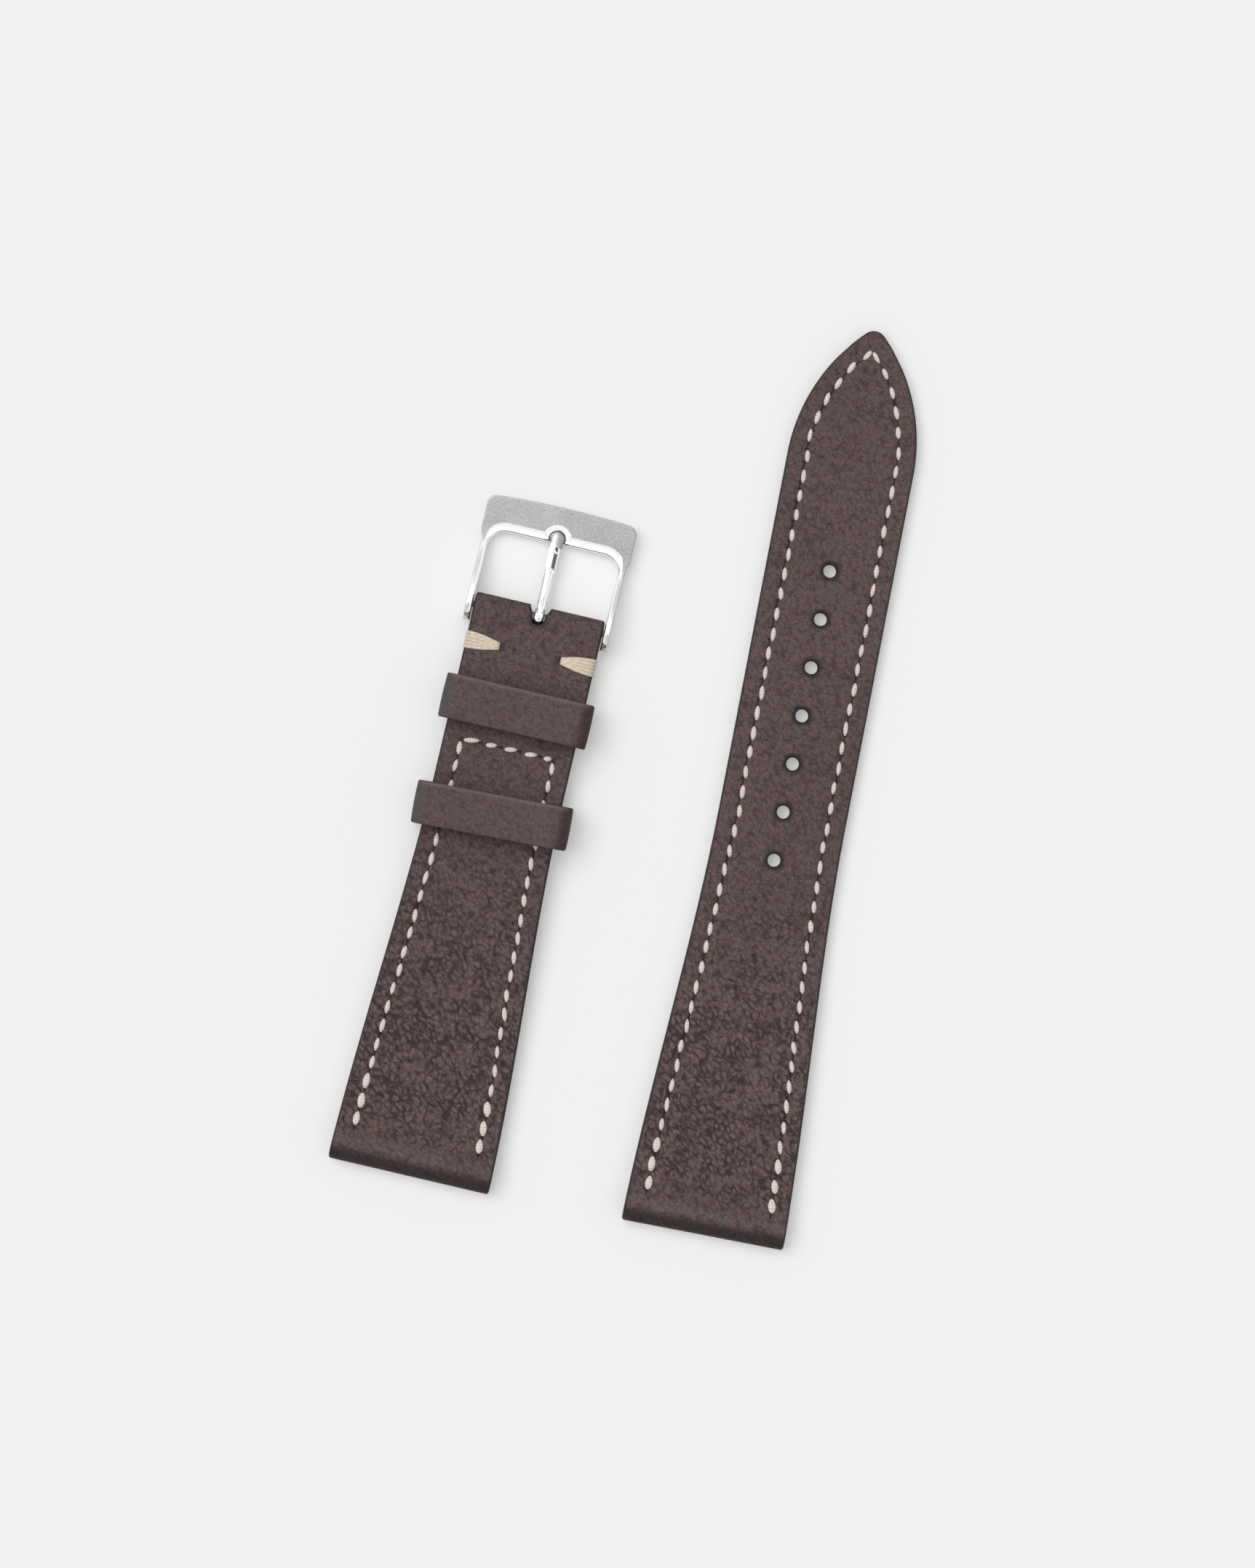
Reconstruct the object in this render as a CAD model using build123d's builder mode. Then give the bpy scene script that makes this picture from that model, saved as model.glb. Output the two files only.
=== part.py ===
from build123d import *
import math
import os

# A two-piece leather watch strap with a pin buckle, in millimetres.
# The origin is the middle of the buckle half's tunnel for the watch's spring bar.
# +X runs along that tunnel, +Y along the buckle half to its buckle, and +Z up from the table.

# Leather of both halves, cut and folded
lug_width = 19.9
tunnel_radius = 0.95
nose_wall = 0.75
top_leather = 0.8
lining = 0.7
pad_thickness = 2.65
shoulder_length = 6.0
pad_length = 11.5
tab_length = 10.5
tunnel_web = 1.45

# Thread of both halves
stitch_inset = 2.2
stitch_width = 0.62
stitch_length = 1.5
stitch_rise = 0.15
stitch_slant = 6.0
groove_width = 0.85
groove_depth = 0.2
groove_lead = 0.3
cut_overrun = 1.0

# Buckle half
buckle_end_width = 15.9
buckle_end_thickness = 2.2
buckle_taper_start = -2.7
bar_reach = 67.6
parallel_length = 20.3
loop_wall = 0.75
loop_swell = 3.0
slot_width = 1.7
slot_mouth_width = 2.6
slot_behind_bar = 0.9
slot_corner = 0.5
eye_pocket_clearance = 0.1
buckle_row_start = 3.75
buckle_row_pitch = 2.33
row_to_cross = 1.1
cross_row_pitch = 2.42
cross_row_stitches = 5

# Bar tacks of linen thread beside the buckle
tack_to_bar = 5.4
tack_width = 2.1
tack_reach = 4.1
tack_thread = 0.3

# Keepers
keeper_wall = 1.0
keeper_clearance = 0.1
keeper_headroom = 2.4
keeper_top_corner = 2.2
keeper_foot_corner = 1.3
keeper_crease = 0.15
keeper_to_cross_row = 2.0
keeper_to_flap = 3.5
keeper_margin = 0.6
fixed_keeper_to_bar = 14.2
fixed_keeper_length = 5.4
fixed_keeper_width = 18.3
free_keeper_to_fixed = 12.8
free_keeper_travel = 6.0
free_keeper_length = 5.2
free_keeper_width = 19.1
free_keeper_skew = 2.4

# Spring bar of the buckle
barrel_radius = 0.75
barrel_bore = 0.5
barrel_end_gap = 0.7
crimp_length = 0.3
bar_clearance = 0.05
plunger_radius = 0.38
plunger_head_radius = 0.46
plunger_head_length = 3.0
spring_wire = 0.14
spring_pitch = 1.1

# Buckle frame
frame_arm_gap = 0.15
frame_corner = 2.2
arm_thickness = 0.8
ear_radius = 2.1
ear_hole_radius = 0.45
ear_hole_depth = 0.6
plate_to_bar = 9.4
plate_length = 4.4
plate_shoulder = 0.35
plate_thickness = 2.2
plate_corner = 1.1
plate_bow = 0.3
bevel_length = 1.1
bevel_drop = 0.7
bevel_margin = 0.1
flare_length = 1.6
seat_radius = 1.35
seat_depth = 0.85

# Buckle tongue
eye_wall = 0.35
eye_width = 1.3
tongue_root_width = 1.2
tongue_neck_width = 1.4
tongue_tip_radius = 0.9
tongue_over_plate = 1.4
tongue_thickness = 0.95
tongue_clearance = 0.05

# Tail half
tail_width = 15.5
tail_taper_start = -4.7
tail_taper_end = 49.8
tail_thickness = 2.0
tail_thin_from = 40.0
tail_length = 109.8
tip_side_radius = 22.2
tip_radius = 1.6
tail_row_start = 3.3
tail_row_pitch = 2.42
hole_radius = 0.95
hole_rim = 0.25
hole_first = 44.5
hole_pitch = 5.95
hole_count = 7
tail_x = 36.2
tail_y = 1.15
tail_turn = 2.25

# Heights, from the axis of the tunnel
nose_radius = tunnel_radius + nose_wall
table = -nose_radius
pad_top = table + pad_thickness
pad_under_filler = table + lining
buckle_under = table + keeper_wall + keeper_clearance
buckle_top = buckle_under + buckle_end_thickness
tail_top = table + tail_thickness
bar_height = buckle_under + buckle_end_thickness / 2
keeper_ceiling = buckle_top + keeper_headroom
plate_top = table + plate_thickness

# Places along the halves
filler_front = tunnel_radius + tunnel_web
loop_bore = barrel_radius + bar_clearance
loop_radius = loop_bore + loop_wall
loop_start = bar_reach - loop_swell
strap_end = bar_reach + loop_radius
buckle_taper_end = bar_reach - parallel_length
tack_start = bar_reach - tack_to_bar
fixed_keeper_start = bar_reach - fixed_keeper_to_bar
free_keeper_start = fixed_keeper_start - free_keeper_to_fixed
lift_end = free_keeper_start - free_keeper_travel - keeper_margin
flap_end = fixed_keeper_start - keeper_to_flap
cross_row = fixed_keeper_start - keeper_to_cross_row
buckle_row_end = cross_row - row_to_cross
pocket_end = fixed_keeper_start + fixed_keeper_length + bar_clearance
groove_start = tail_row_start - stitch_length / 2 - groove_lead
tip_middle = tail_width / 2 - tip_side_radius
tip_start = tail_length - tip_radius - math.sqrt(
    (tip_side_radius - tip_radius) ** 2 - tip_middle**2
)
plate_back = bar_reach + plate_to_bar
tip_centre = plate_back + tongue_over_plate - tongue_tip_radius
frame_opening = buckle_end_width + 2 * frame_arm_gap
plate_width = frame_opening + 2 * (arm_thickness + plate_shoulder)
barrel_length = frame_opening - 2 * barrel_end_gap
tall = ear_radius + keeper_headroom + pad_thickness + nose_radius

# Planes: each half has a plan plane, and a side plane whose x runs along the half
buckle_plan = Plane.XY
tail_plan = Plane(
    origin=(tail_x, tail_y, 0),
    x_dir=(math.cos(math.radians(tail_turn)), math.sin(math.radians(tail_turn)), 0),
    z_dir=(0, 0, 1),
)


def side_of(plan):
    """The plane through a half's centre line, with x along the half and y up."""
    return Plane(plan.origin, x_dir=plan.y_dir, z_dir=plan.x_dir)


buckle_side = side_of(buckle_plan)
tail_side = side_of(tail_plan)


def eased(low, high, share):
    """A value that leaves low and reaches high smoothly as share goes from 0 to 1."""
    share = min(max(share, 0), 1)
    return low + (high - low) * share**2 * (3 - 2 * share)


def ease_curve(start, end):
    """The curve of eased(), drawn along the first axis."""
    third = (end[0] - start[0]) / 3
    Bezier(start, (start[0] + third, start[1]), (end[0] - third, end[1]), end)


def taper_curve(start, end):
    """The curve of eased(), drawn along the second axis."""
    third = (end[1] - start[1]) / 3
    Bezier(start, (start[0], start[1] + third), (end[0], end[1] - third), end)


def nose_fold():
    """The rounded fold at the lug end and the shoulder behind it, from the table up."""
    ThreePointArc((0, table), (-nose_radius, 0), (0, nose_radius))
    ease_curve((0, nose_radius), (shoulder_length, pad_top))


def top_run(shift, thin_from, thin_top, end):
    """A half's top face from the shoulder to end, moved up by shift."""
    Polyline(
        (shoulder_length, pad_top + shift),
        (pad_length, pad_top + shift),
        (thin_from, thin_top + shift),
        (end, thin_top + shift),
    )


def buckle_under_run(shift, start, end):
    """The buckle half's underside from start to end, moved up by shift."""
    Polyline(
        (start, table + shift),
        (pad_length, table + shift),
        (lift_end, buckle_under + shift),
        (end, buckle_under + shift),
    )


def filler_nose(top):
    """The filler's front, from the tab up to the shoulder's inner face."""
    front_top = eased(nose_radius, pad_top, filler_front / shoulder_length) - top_leather
    Line((filler_front, pad_under_filler), (filler_front, front_top))
    Line((filler_front, front_top), (shoulder_length, top))


def buckle_edge(inset):
    """The right long edge of the buckle half, moved inwards by inset."""
    wide = lug_width / 2 - inset
    narrow = buckle_end_width / 2 - inset
    taper_curve((wide, buckle_taper_start), (narrow, buckle_taper_end))
    Line((narrow, buckle_taper_end), (narrow, strap_end))


def tail_edge(inset):
    """The right long edge of the tail half, moved inwards by inset, up to the tip."""
    wide = lug_width / 2 - inset
    narrow = tail_width / 2 - inset
    radius = tip_side_radius - inset
    turn = math.degrees(math.acos(-tip_middle / radius))
    taper_curve((wide, tail_taper_start), (narrow, tail_taper_end))
    Line((narrow, tail_taper_end), (narrow, tip_start))
    CenterArc((tip_middle, tip_start), radius, 0, turn)


def row_runs(start, end, pitch):
    """How far along a row each of its stitches lies, at about the given pitch."""
    gaps = round((end - start) / pitch)
    return [start + (end - start) * number / gaps for number in range(gaps + 1)]


def buckle_row():
    """Place and turn of each stitch in the buckle half's right row."""
    places = []
    for along in row_runs(buckle_row_start, buckle_row_end, buckle_row_pitch):
        taper = (along - buckle_taper_start) / (buckle_taper_end - buckle_taper_start)
        across = eased(lug_width, buckle_end_width, taper) / 2 - stitch_inset
        places.append((across, along, 0))
    return places


def tail_row():
    """Place and turn of each stitch in the tail half's right row, round to the V."""
    radius = tip_side_radius - stitch_inset
    tip_arc = radius * math.acos(-tip_middle / radius) - stitch_length
    places = []
    for run in row_runs(tail_row_start, tip_start + tip_arc, tail_row_pitch):
        turn = max(run - tip_start, 0) / radius
        along = min(run, tip_start) + radius * math.sin(turn)
        taper = (run - tail_taper_start) / (tail_taper_end - tail_taper_start)
        across = eased(lug_width, tail_width, taper) / 2 - stitch_inset
        across -= radius * (1 - math.cos(turn))
        places.append((across, along, math.degrees(turn)))
    return places


def both_rows(places):
    """Locations of a right row and of its left twin, with the slant of the thread."""
    right = [Location((x, y, 0), (0, 0, turn + stitch_slant)) for x, y, turn in places]
    left = [Location((-x, y, 0), (0, 0, -turn + stitch_slant)) for x, y, turn in places]
    return right + left


# Plan outline of the buckle half
with BuildSketch() as buckle_outline:
    with BuildLine():
        buckle_edge(0)
        mirror(about=Plane.YZ)
        Line((-lug_width / 2, buckle_taper_start), (lug_width / 2, buckle_taper_start))
        Line((-buckle_end_width / 2, strap_end), (buckle_end_width / 2, strap_end))
    make_face()

# Plan outline of the tail half, its tip rounded
with BuildSketch() as tail_outline:
    with BuildLine():
        tail_edge(0)
        mirror(about=Plane.YZ)
        Line((-lug_width / 2, tail_taper_start), (lug_width / 2, tail_taper_start))
    make_face()
    fillet(tail_outline.vertices().sort_by(Axis.Y)[-1], tip_radius)

# Plan of the adjusting holes
with BuildSketch() as hole_row:
    with Locations((0, hole_first + hole_pitch * (hole_count - 1) / 2)):
        with GridLocations(0, hole_pitch, 1, hole_count):
            Circle(hole_radius)

# Plan of the slot that lets the tongue out of the buckle fold
with BuildSketch() as tongue_slot:
    with BuildLine():
        Polyline(
            (-slot_width / 2, bar_reach - slot_behind_bar),
            (slot_width / 2, bar_reach - slot_behind_bar),
            (slot_width / 2, bar_reach + loop_bore),
            (slot_mouth_width / 2, strap_end),
            (slot_mouth_width / 2, strap_end + cut_overrun),
            (-slot_mouth_width / 2, strap_end + cut_overrun),
            (-slot_mouth_width / 2, strap_end),
            (-slot_width / 2, bar_reach + loop_bore),
            close=True,
        )
    make_face()
    fillet(tongue_slot.vertices().group_by(Axis.Y)[0], slot_corner)

# Plan of the thread grooves: a strip along each edge, and the cross row before the keeper
with BuildSketch() as buckle_grooves:
    with BuildLine():
        buckle_edge(stitch_inset - groove_width / 2)
        buckle_edge(stitch_inset + groove_width / 2)
        inner_start = lug_width / 2 - stitch_inset - groove_width / 2
        inner_end = buckle_end_width / 2 - stitch_inset - groove_width / 2
        Line((inner_start, buckle_taper_start), (inner_start + groove_width, buckle_taper_start))
        Line((inner_end, strap_end), (inner_end + groove_width, strap_end))
    make_face()
    mirror(about=Plane.YZ)
    with Locations((0, (groove_start + cross_row + groove_width / 2) / 2)):
        Rectangle(
            lug_width,
            cross_row + groove_width / 2 - groove_start,
            mode=Mode.INTERSECT,
        )
    with Locations((0, cross_row)):
        Rectangle(2 * inner_end + groove_width, groove_width)

with BuildSketch() as tail_grooves:
    with BuildLine():
        tail_edge(stitch_inset - groove_width / 2)
        mirror(about=Plane.YZ)
        outer_start = lug_width / 2 - stitch_inset + groove_width / 2
        Line((-outer_start, tail_taper_start), (outer_start, tail_taper_start))
    make_face()
    with BuildLine():
        tail_edge(stitch_inset + groove_width / 2)
        mirror(about=Plane.YZ)
        inner_start = lug_width / 2 - stitch_inset - groove_width / 2
        Line((-inner_start, tail_taper_start), (inner_start, tail_taper_start))
    make_face(mode=Mode.SUBTRACT)
    with Locations((0, groove_start + tail_length / 2)):
        Rectangle(lug_width, tail_length, mode=Mode.INTERSECT)

# Plan of the stitches
with BuildSketch() as buckle_stitches:
    with Locations(*both_rows(buckle_row())):
        Rectangle(stitch_width, stitch_length)
    with Locations((0, cross_row)):
        with GridLocations(cross_row_pitch, 0, cross_row_stitches, 1):
            Rectangle(stitch_length, stitch_width)

with BuildSketch() as tail_stitches:
    with Locations(*both_rows(tail_row())):
        Rectangle(stitch_width, stitch_length)


def buckle_thread_top(low, high):
    """The side face between the buckle half's top face moved by low and by high."""
    with BuildSketch() as layer:
        with BuildLine():
            for shift in (low, high):
                ease_curve((0, nose_radius + shift), (shoulder_length, pad_top + shift))
                top_run(shift, lift_end, buckle_top, loop_start)
            Line((0, nose_radius + low), (0, nose_radius + high))
            Line((loop_start, buckle_top + low), (loop_start, buckle_top + high))
        make_face()
    return layer.sketch_local


def buckle_thread_under(low, high):
    """The side face between the buckle half's underside moved by low and by high."""
    with BuildSketch() as layer:
        with BuildLine():
            for shift in (low, high):
                buckle_under_run(shift, 0, loop_start)
            Line((0, table + low), (0, table + high))
            Line((loop_start, buckle_under + low), (loop_start, buckle_under + high))
        make_face()
    return layer.sketch_local


def tail_thread_top(low, high):
    """The side face between the tail half's top face moved by low and by high."""
    with BuildSketch() as layer:
        with BuildLine():
            for shift in (low, high):
                ease_curve((0, nose_radius + shift), (shoulder_length, pad_top + shift))
                top_run(shift, tail_thin_from, tail_top, tail_length)
            Line((0, nose_radius + low), (0, nose_radius + high))
            Line((tail_length, tail_top + low), (tail_length, tail_top + high))
        make_face()
    return layer.sketch_local


def tail_thread_under(low, high):
    """The side face between the tail half's underside moved by low and by high."""
    with BuildSketch() as layer:
        with Locations((tail_length / 2, table + (low + high) / 2)):
            Rectangle(tail_length, high - low)
    return layer.sketch_local


# What the grooves take out of each half's leather
with BuildPart() as buckle_groove_cut:
    with BuildSketch(buckle_side):
        add(buckle_thread_top(-groove_depth, cut_overrun))
        add(buckle_thread_under(-cut_overrun, groove_depth))
    extrude(amount=lug_width, both=True)
    with BuildSketch(buckle_plan):
        add(buckle_grooves.sketch_local)
    extrude(amount=tall, both=True, mode=Mode.INTERSECT)

with BuildPart() as tail_groove_cut:
    with BuildSketch(tail_side):
        add(tail_thread_top(-groove_depth, cut_overrun))
        add(tail_thread_under(-cut_overrun, groove_depth))
    extrude(amount=lug_width, both=True)
    with BuildSketch(tail_plan):
        add(tail_grooves.sketch_local)
    extrude(amount=tall, both=True, mode=Mode.INTERSECT)

# Buckle half: one top leather, folded round the tunnel at one end and the spring bar at the other
with BuildPart() as buckle_side_top_leather:
    with BuildSketch(buckle_side):
        with BuildLine():
            nose_fold()
            top_run(0, lift_end, buckle_top, loop_start)
            ease_curve((loop_start, buckle_top), (bar_reach, bar_height + loop_radius))
            ThreePointArc(
                (bar_reach, bar_height + loop_radius),
                (strap_end, bar_height),
                (bar_reach, bar_height - loop_radius),
            )
            ease_curve((loop_start, buckle_under), (bar_reach, bar_height - loop_radius))
            Polyline(
                (loop_start, buckle_under),
                (flap_end, buckle_under),
                (flap_end, buckle_under + lining),
                (pocket_end, buckle_under + lining),
                (pocket_end, buckle_top - top_leather),
            )
            top_run(-top_leather, lift_end, buckle_top, pocket_end)
            filler_nose(pad_top - top_leather)
            Polyline(
                (filler_front, pad_under_filler),
                (tab_length, pad_under_filler),
                (tab_length, table),
                (0, table),
            )
        make_face()
        Circle(tunnel_radius, mode=Mode.SUBTRACT)
        with Locations((bar_reach, bar_height)):
            Circle(loop_bore, mode=Mode.SUBTRACT)
    extrude(amount=lug_width, both=True)
    with BuildSketch(buckle_plan):
        add(buckle_outline.sketch_local)
        add(tongue_slot.sketch_local, mode=Mode.SUBTRACT)
    extrude(amount=tall, both=True, mode=Mode.INTERSECT)
    add(buckle_groove_cut.part, mode=Mode.SUBTRACT)
    with BuildSketch(buckle_side):
        with Locations((bar_reach, bar_height)):
            Circle(loop_bore + eye_wall + eye_pocket_clearance)
    extrude(amount=slot_width / 2, both=True, mode=Mode.SUBTRACT)
buckle_side_top_leather.part.label = "buckle_side_top_leather"

# Filler board, wedge shaped, between the top leather and the lining
with BuildPart() as buckle_side_filler:
    with BuildSketch(buckle_side):
        with BuildLine():
            filler_nose(pad_top - top_leather)
            top_run(-top_leather, lift_end, buckle_top, fixed_keeper_start - keeper_clearance)
            Line(
                (fixed_keeper_start - keeper_clearance, buckle_top - top_leather),
                (fixed_keeper_start - keeper_clearance, buckle_under + lining),
            )
            buckle_under_run(lining, filler_front, fixed_keeper_start - keeper_clearance)
        make_face()
    extrude(amount=lug_width, both=True)
    with BuildSketch(buckle_plan):
        add(buckle_outline.sketch_local)
    extrude(amount=tall, both=True, mode=Mode.INTERSECT)
buckle_side_filler.part.label = "buckle_side_filler"

# Lining, butted to the folded tab at one end and to the buckle fold at the other
with BuildPart() as buckle_side_lining:
    with BuildSketch(buckle_side):
        with BuildLine():
            buckle_under_run(0, tab_length, flap_end)
            buckle_under_run(lining, tab_length, flap_end)
            Line((tab_length, table), (tab_length, table + lining))
            Line((flap_end, buckle_under), (flap_end, buckle_under + lining))
        make_face()
    extrude(amount=lug_width, both=True)
    with BuildSketch(buckle_plan):
        add(buckle_outline.sketch_local)
    extrude(amount=tall, both=True, mode=Mode.INTERSECT)
    add(buckle_groove_cut.part, mode=Mode.SUBTRACT)
buckle_side_lining.part.label = "buckle_side_lining"

# Thread of the edge rows and the cross row, seen on both faces
with BuildPart() as buckle_side_stitching:
    with BuildSketch(buckle_side):
        add(buckle_thread_top(-groove_depth, stitch_rise))
        add(buckle_thread_under(0, groove_depth))
    extrude(amount=lug_width, both=True)
    with BuildSketch(buckle_plan):
        add(buckle_stitches.sketch_local)
    extrude(amount=tall, both=True, mode=Mode.INTERSECT)
buckle_side_stitching.part.label = "buckle_side_stitching"


def bar_tack(side):
    """A wedge of linen thread that wraps the long edge on one side, -1 left or 1 right."""
    edge = buckle_end_width / 2
    with BuildPart() as tack:
        with BuildSketch(Plane.XZ.offset(-tack_start)):
            with Locations((0, (buckle_top + buckle_under) / 2)):
                Rectangle(
                    buckle_end_width + 2 * tack_thread,
                    buckle_end_thickness + 2 * tack_thread,
                )
                Rectangle(buckle_end_width, buckle_end_thickness, mode=Mode.SUBTRACT)
        extrude(amount=-tack_width)
        with BuildSketch(buckle_plan):
            with BuildLine():
                Polyline(
                    (side * (edge + tack_thread), tack_start),
                    (side * (edge - tack_thread), tack_start),
                    (side * (edge - tack_reach), tack_start + tack_width / 2 - tack_thread / 2),
                    (side * (edge - tack_reach), tack_start + tack_width / 2 + tack_thread / 2),
                    (side * (edge - tack_thread), tack_start + tack_width),
                    (side * (edge + tack_thread), tack_start + tack_width),
                    close=True,
                )
            make_face()
        extrude(amount=tall, both=True, mode=Mode.INTERSECT)
    return tack.part


bar_tack_left = bar_tack(-1)
bar_tack_left.label = "bar_tack_left"
bar_tack_right = bar_tack(1)
bar_tack_right.label = "bar_tack_right"


def rounded_box(width, low, high, top_corner, foot_corner):
    """A face from low to high, its top and foot corners rounded to their own radii."""
    with BuildSketch() as box:
        with Locations((0, (low + high) / 2)):
            Rectangle(width, high - low)
        fillet(box.vertices().group_by(Axis.Y)[-1], top_corner)
        fillet(box.vertices().group_by(Axis.Y)[0], foot_corner)
    return box.sketch_local


def keeper(plane, width, length, foot, foot_wall):
    """A leather band closed into a loop, from its foot up to the keepers' shared head."""
    hollow = width - 2 * keeper_wall
    head_corner = keeper_top_corner - keeper_wall
    with BuildPart() as band:
        with BuildSketch(plane):
            add(
                rounded_box(
                    width,
                    foot,
                    keeper_ceiling + keeper_wall,
                    keeper_top_corner,
                    keeper_foot_corner,
                )
            )
            add(
                rounded_box(
                    hollow, foot + foot_wall, keeper_ceiling, head_corner, keeper_crease
                ),
                mode=Mode.SUBTRACT,
            )
        extrude(amount=length / 2, both=True)
    return band.part


# Fixed keeper, its foot held between the top leather and the buckle fold
fixed_keeper = keeper(
    Plane.XZ.offset(-(fixed_keeper_start + fixed_keeper_length / 2)),
    fixed_keeper_width,
    fixed_keeper_length,
    buckle_under + lining,
    buckle_end_thickness - top_leather - lining,
)
fixed_keeper.label = "fixed_keeper"

# Free keeper, which lies on the table and slides along the strap
skew = math.radians(free_keeper_skew)
free_keeper = keeper(
    Plane(
        origin=(0, free_keeper_start + free_keeper_length / 2, 0),
        x_dir=(math.cos(skew), math.sin(skew), 0),
        z_dir=(math.sin(skew), -math.cos(skew), 0),
    ),
    free_keeper_width,
    free_keeper_length,
    table,
    keeper_wall,
)
free_keeper.label = "free_keeper"

# Spring bar of the buckle: a crimped barrel, two plungers and the spring between them
bar_plane = Plane(origin=(0, bar_reach, bar_height), x_dir=(1, 0, 0), z_dir=(0, 0, 1))
bar_axis = Axis((0, bar_reach, bar_height), (1, 0, 0))
crimp_start = barrel_length / 2 - crimp_length
head_end = crimp_start - bar_clearance
head_start = head_end - plunger_head_length
plunger_end = frame_opening / 2 + ear_hole_depth - bar_clearance

with BuildPart() as spring_bar_barrel:
    with BuildSketch(bar_plane):
        with Locations((0, barrel_radius / 2)):
            Rectangle(barrel_length, barrel_radius)
        with Locations((0, barrel_bore / 2)):
            Rectangle(2 * crimp_start, barrel_bore, mode=Mode.SUBTRACT)
        with Locations((0, (plunger_radius + bar_clearance) / 2)):
            Rectangle(barrel_length, plunger_radius + bar_clearance, mode=Mode.SUBTRACT)
    revolve(axis=bar_axis)
spring_bar_barrel.part.label = "spring_bar_barrel"


def plunger(side):
    """A stepped pin held by its head inside the barrel, -1 left or 1 right."""
    with BuildPart() as pin:
        with BuildSketch(bar_plane):
            with BuildLine():
                Polyline(
                    (side * head_start, 0),
                    (side * head_start, plunger_head_radius),
                    (side * head_end, plunger_head_radius),
                    (side * head_end, plunger_radius),
                    (side * plunger_end, plunger_radius),
                    (side * plunger_end, 0),
                    close=True,
                )
            make_face()
        revolve(axis=bar_axis)
    return pin.part


spring_bar_plunger_left = plunger(-1)
spring_bar_plunger_left.label = "spring_bar_plunger_left"
spring_bar_plunger_right = plunger(1)
spring_bar_plunger_right.label = "spring_bar_plunger_right"

spring_end = head_start - bar_clearance - spring_wire / 2
spring_radius = barrel_bore - bar_clearance - spring_wire / 2
with BuildPart() as spring_bar_spring:
    with BuildLine() as spring_line:
        Helix(
            spring_pitch,
            2 * spring_end,
            spring_radius,
            center=(-spring_end, bar_reach, bar_height),
            direction=(1, 0, 0),
        )
    with BuildSketch(Plane(origin=spring_line.line @ 0, z_dir=spring_line.line % 0)):
        Rectangle(spring_wire, spring_wire)
    sweep()
spring_bar_spring.part.label = "spring_bar_spring"


def frame_window(width, front, corner):
    """The frame's opening in plan, open at the back, with its front corners rounded."""
    back = bar_reach - ear_radius - cut_overrun
    with BuildSketch() as window:
        with Locations((0, (back + front) / 2)):
            Rectangle(width, front - back)
        fillet(window.vertices().group_by(Axis.Y)[-1], corner)
    return window.sketch_local


# Buckle frame: two blade arms with blind holes for the plungers, and a bevelled plate
with BuildPart() as buckle_frame:
    with BuildSketch(buckle_side):
        with BuildLine():
            ThreePointArc(
                (bar_reach, bar_height - ear_radius),
                (bar_reach - ear_radius, bar_height),
                (bar_reach, bar_height + ear_radius),
            )
            ease_curve((bar_reach, bar_height + ear_radius), (plate_back, plate_top))
            Polyline(
                (plate_back, plate_top),
                (plate_back + plate_length, plate_top),
                (plate_back + plate_length, table),
                (plate_back, table),
            )
            ease_curve((bar_reach, bar_height - ear_radius), (plate_back, table))
        make_face()
    extrude(amount=plate_width, both=True)
    with BuildSketch(buckle_plan):
        arm_out = frame_opening / 2 + arm_thickness
        plate_out = plate_width / 2
        plate_front = plate_back + plate_length
        bow_start = plate_front - plate_bow
        with BuildLine():
            Line((0, bar_reach - ear_radius), (arm_out, bar_reach - ear_radius))
            Line((arm_out, bar_reach - ear_radius), (arm_out, plate_back - flare_length))
            taper_curve((arm_out, plate_back - flare_length), (plate_out, plate_back))
            Line((plate_out, plate_back), (plate_out, bow_start - plate_corner))
            RadiusArc(
                (plate_out, bow_start - plate_corner),
                (plate_out - plate_corner, bow_start),
                -plate_corner,
            )
            mirror(about=Plane.YZ)
            ThreePointArc(
                (plate_out - plate_corner, bow_start),
                (0, plate_front),
                (plate_corner - plate_out, bow_start),
            )
        make_face()
        add(frame_window(frame_opening, plate_back, frame_corner), mode=Mode.SUBTRACT)
    extrude(amount=tall, both=True, mode=Mode.INTERSECT)
    bevel_width = frame_opening - 2 * bevel_margin
    with BuildSketch(buckle_plan.offset(plate_top - 2 * bevel_drop)):
        add(frame_window(bevel_width, plate_back - bevel_length, frame_corner - bevel_length))
    with BuildSketch(buckle_plan.offset(plate_top)) as bevel_mouth:
        add(frame_window(bevel_width, plate_back + bevel_length, frame_corner + bevel_length))
    loft(mode=Mode.SUBTRACT)
    extrude(bevel_mouth.sketch, amount=tall, mode=Mode.SUBTRACT)
    with BuildSketch(buckle_plan.offset(plate_top - seat_depth)):
        with Locations((0, tip_centre)):
            Circle(seat_radius)
    extrude(amount=tall, mode=Mode.SUBTRACT)
    with BuildSketch(Plane.YZ.offset(-frame_opening / 2 - ear_hole_depth)):
        with Locations((bar_reach, bar_height)):
            Circle(ear_hole_radius)
    extrude(amount=frame_opening + 2 * ear_hole_depth, mode=Mode.SUBTRACT)
buckle_frame.part.label = "buckle_frame"

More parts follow.
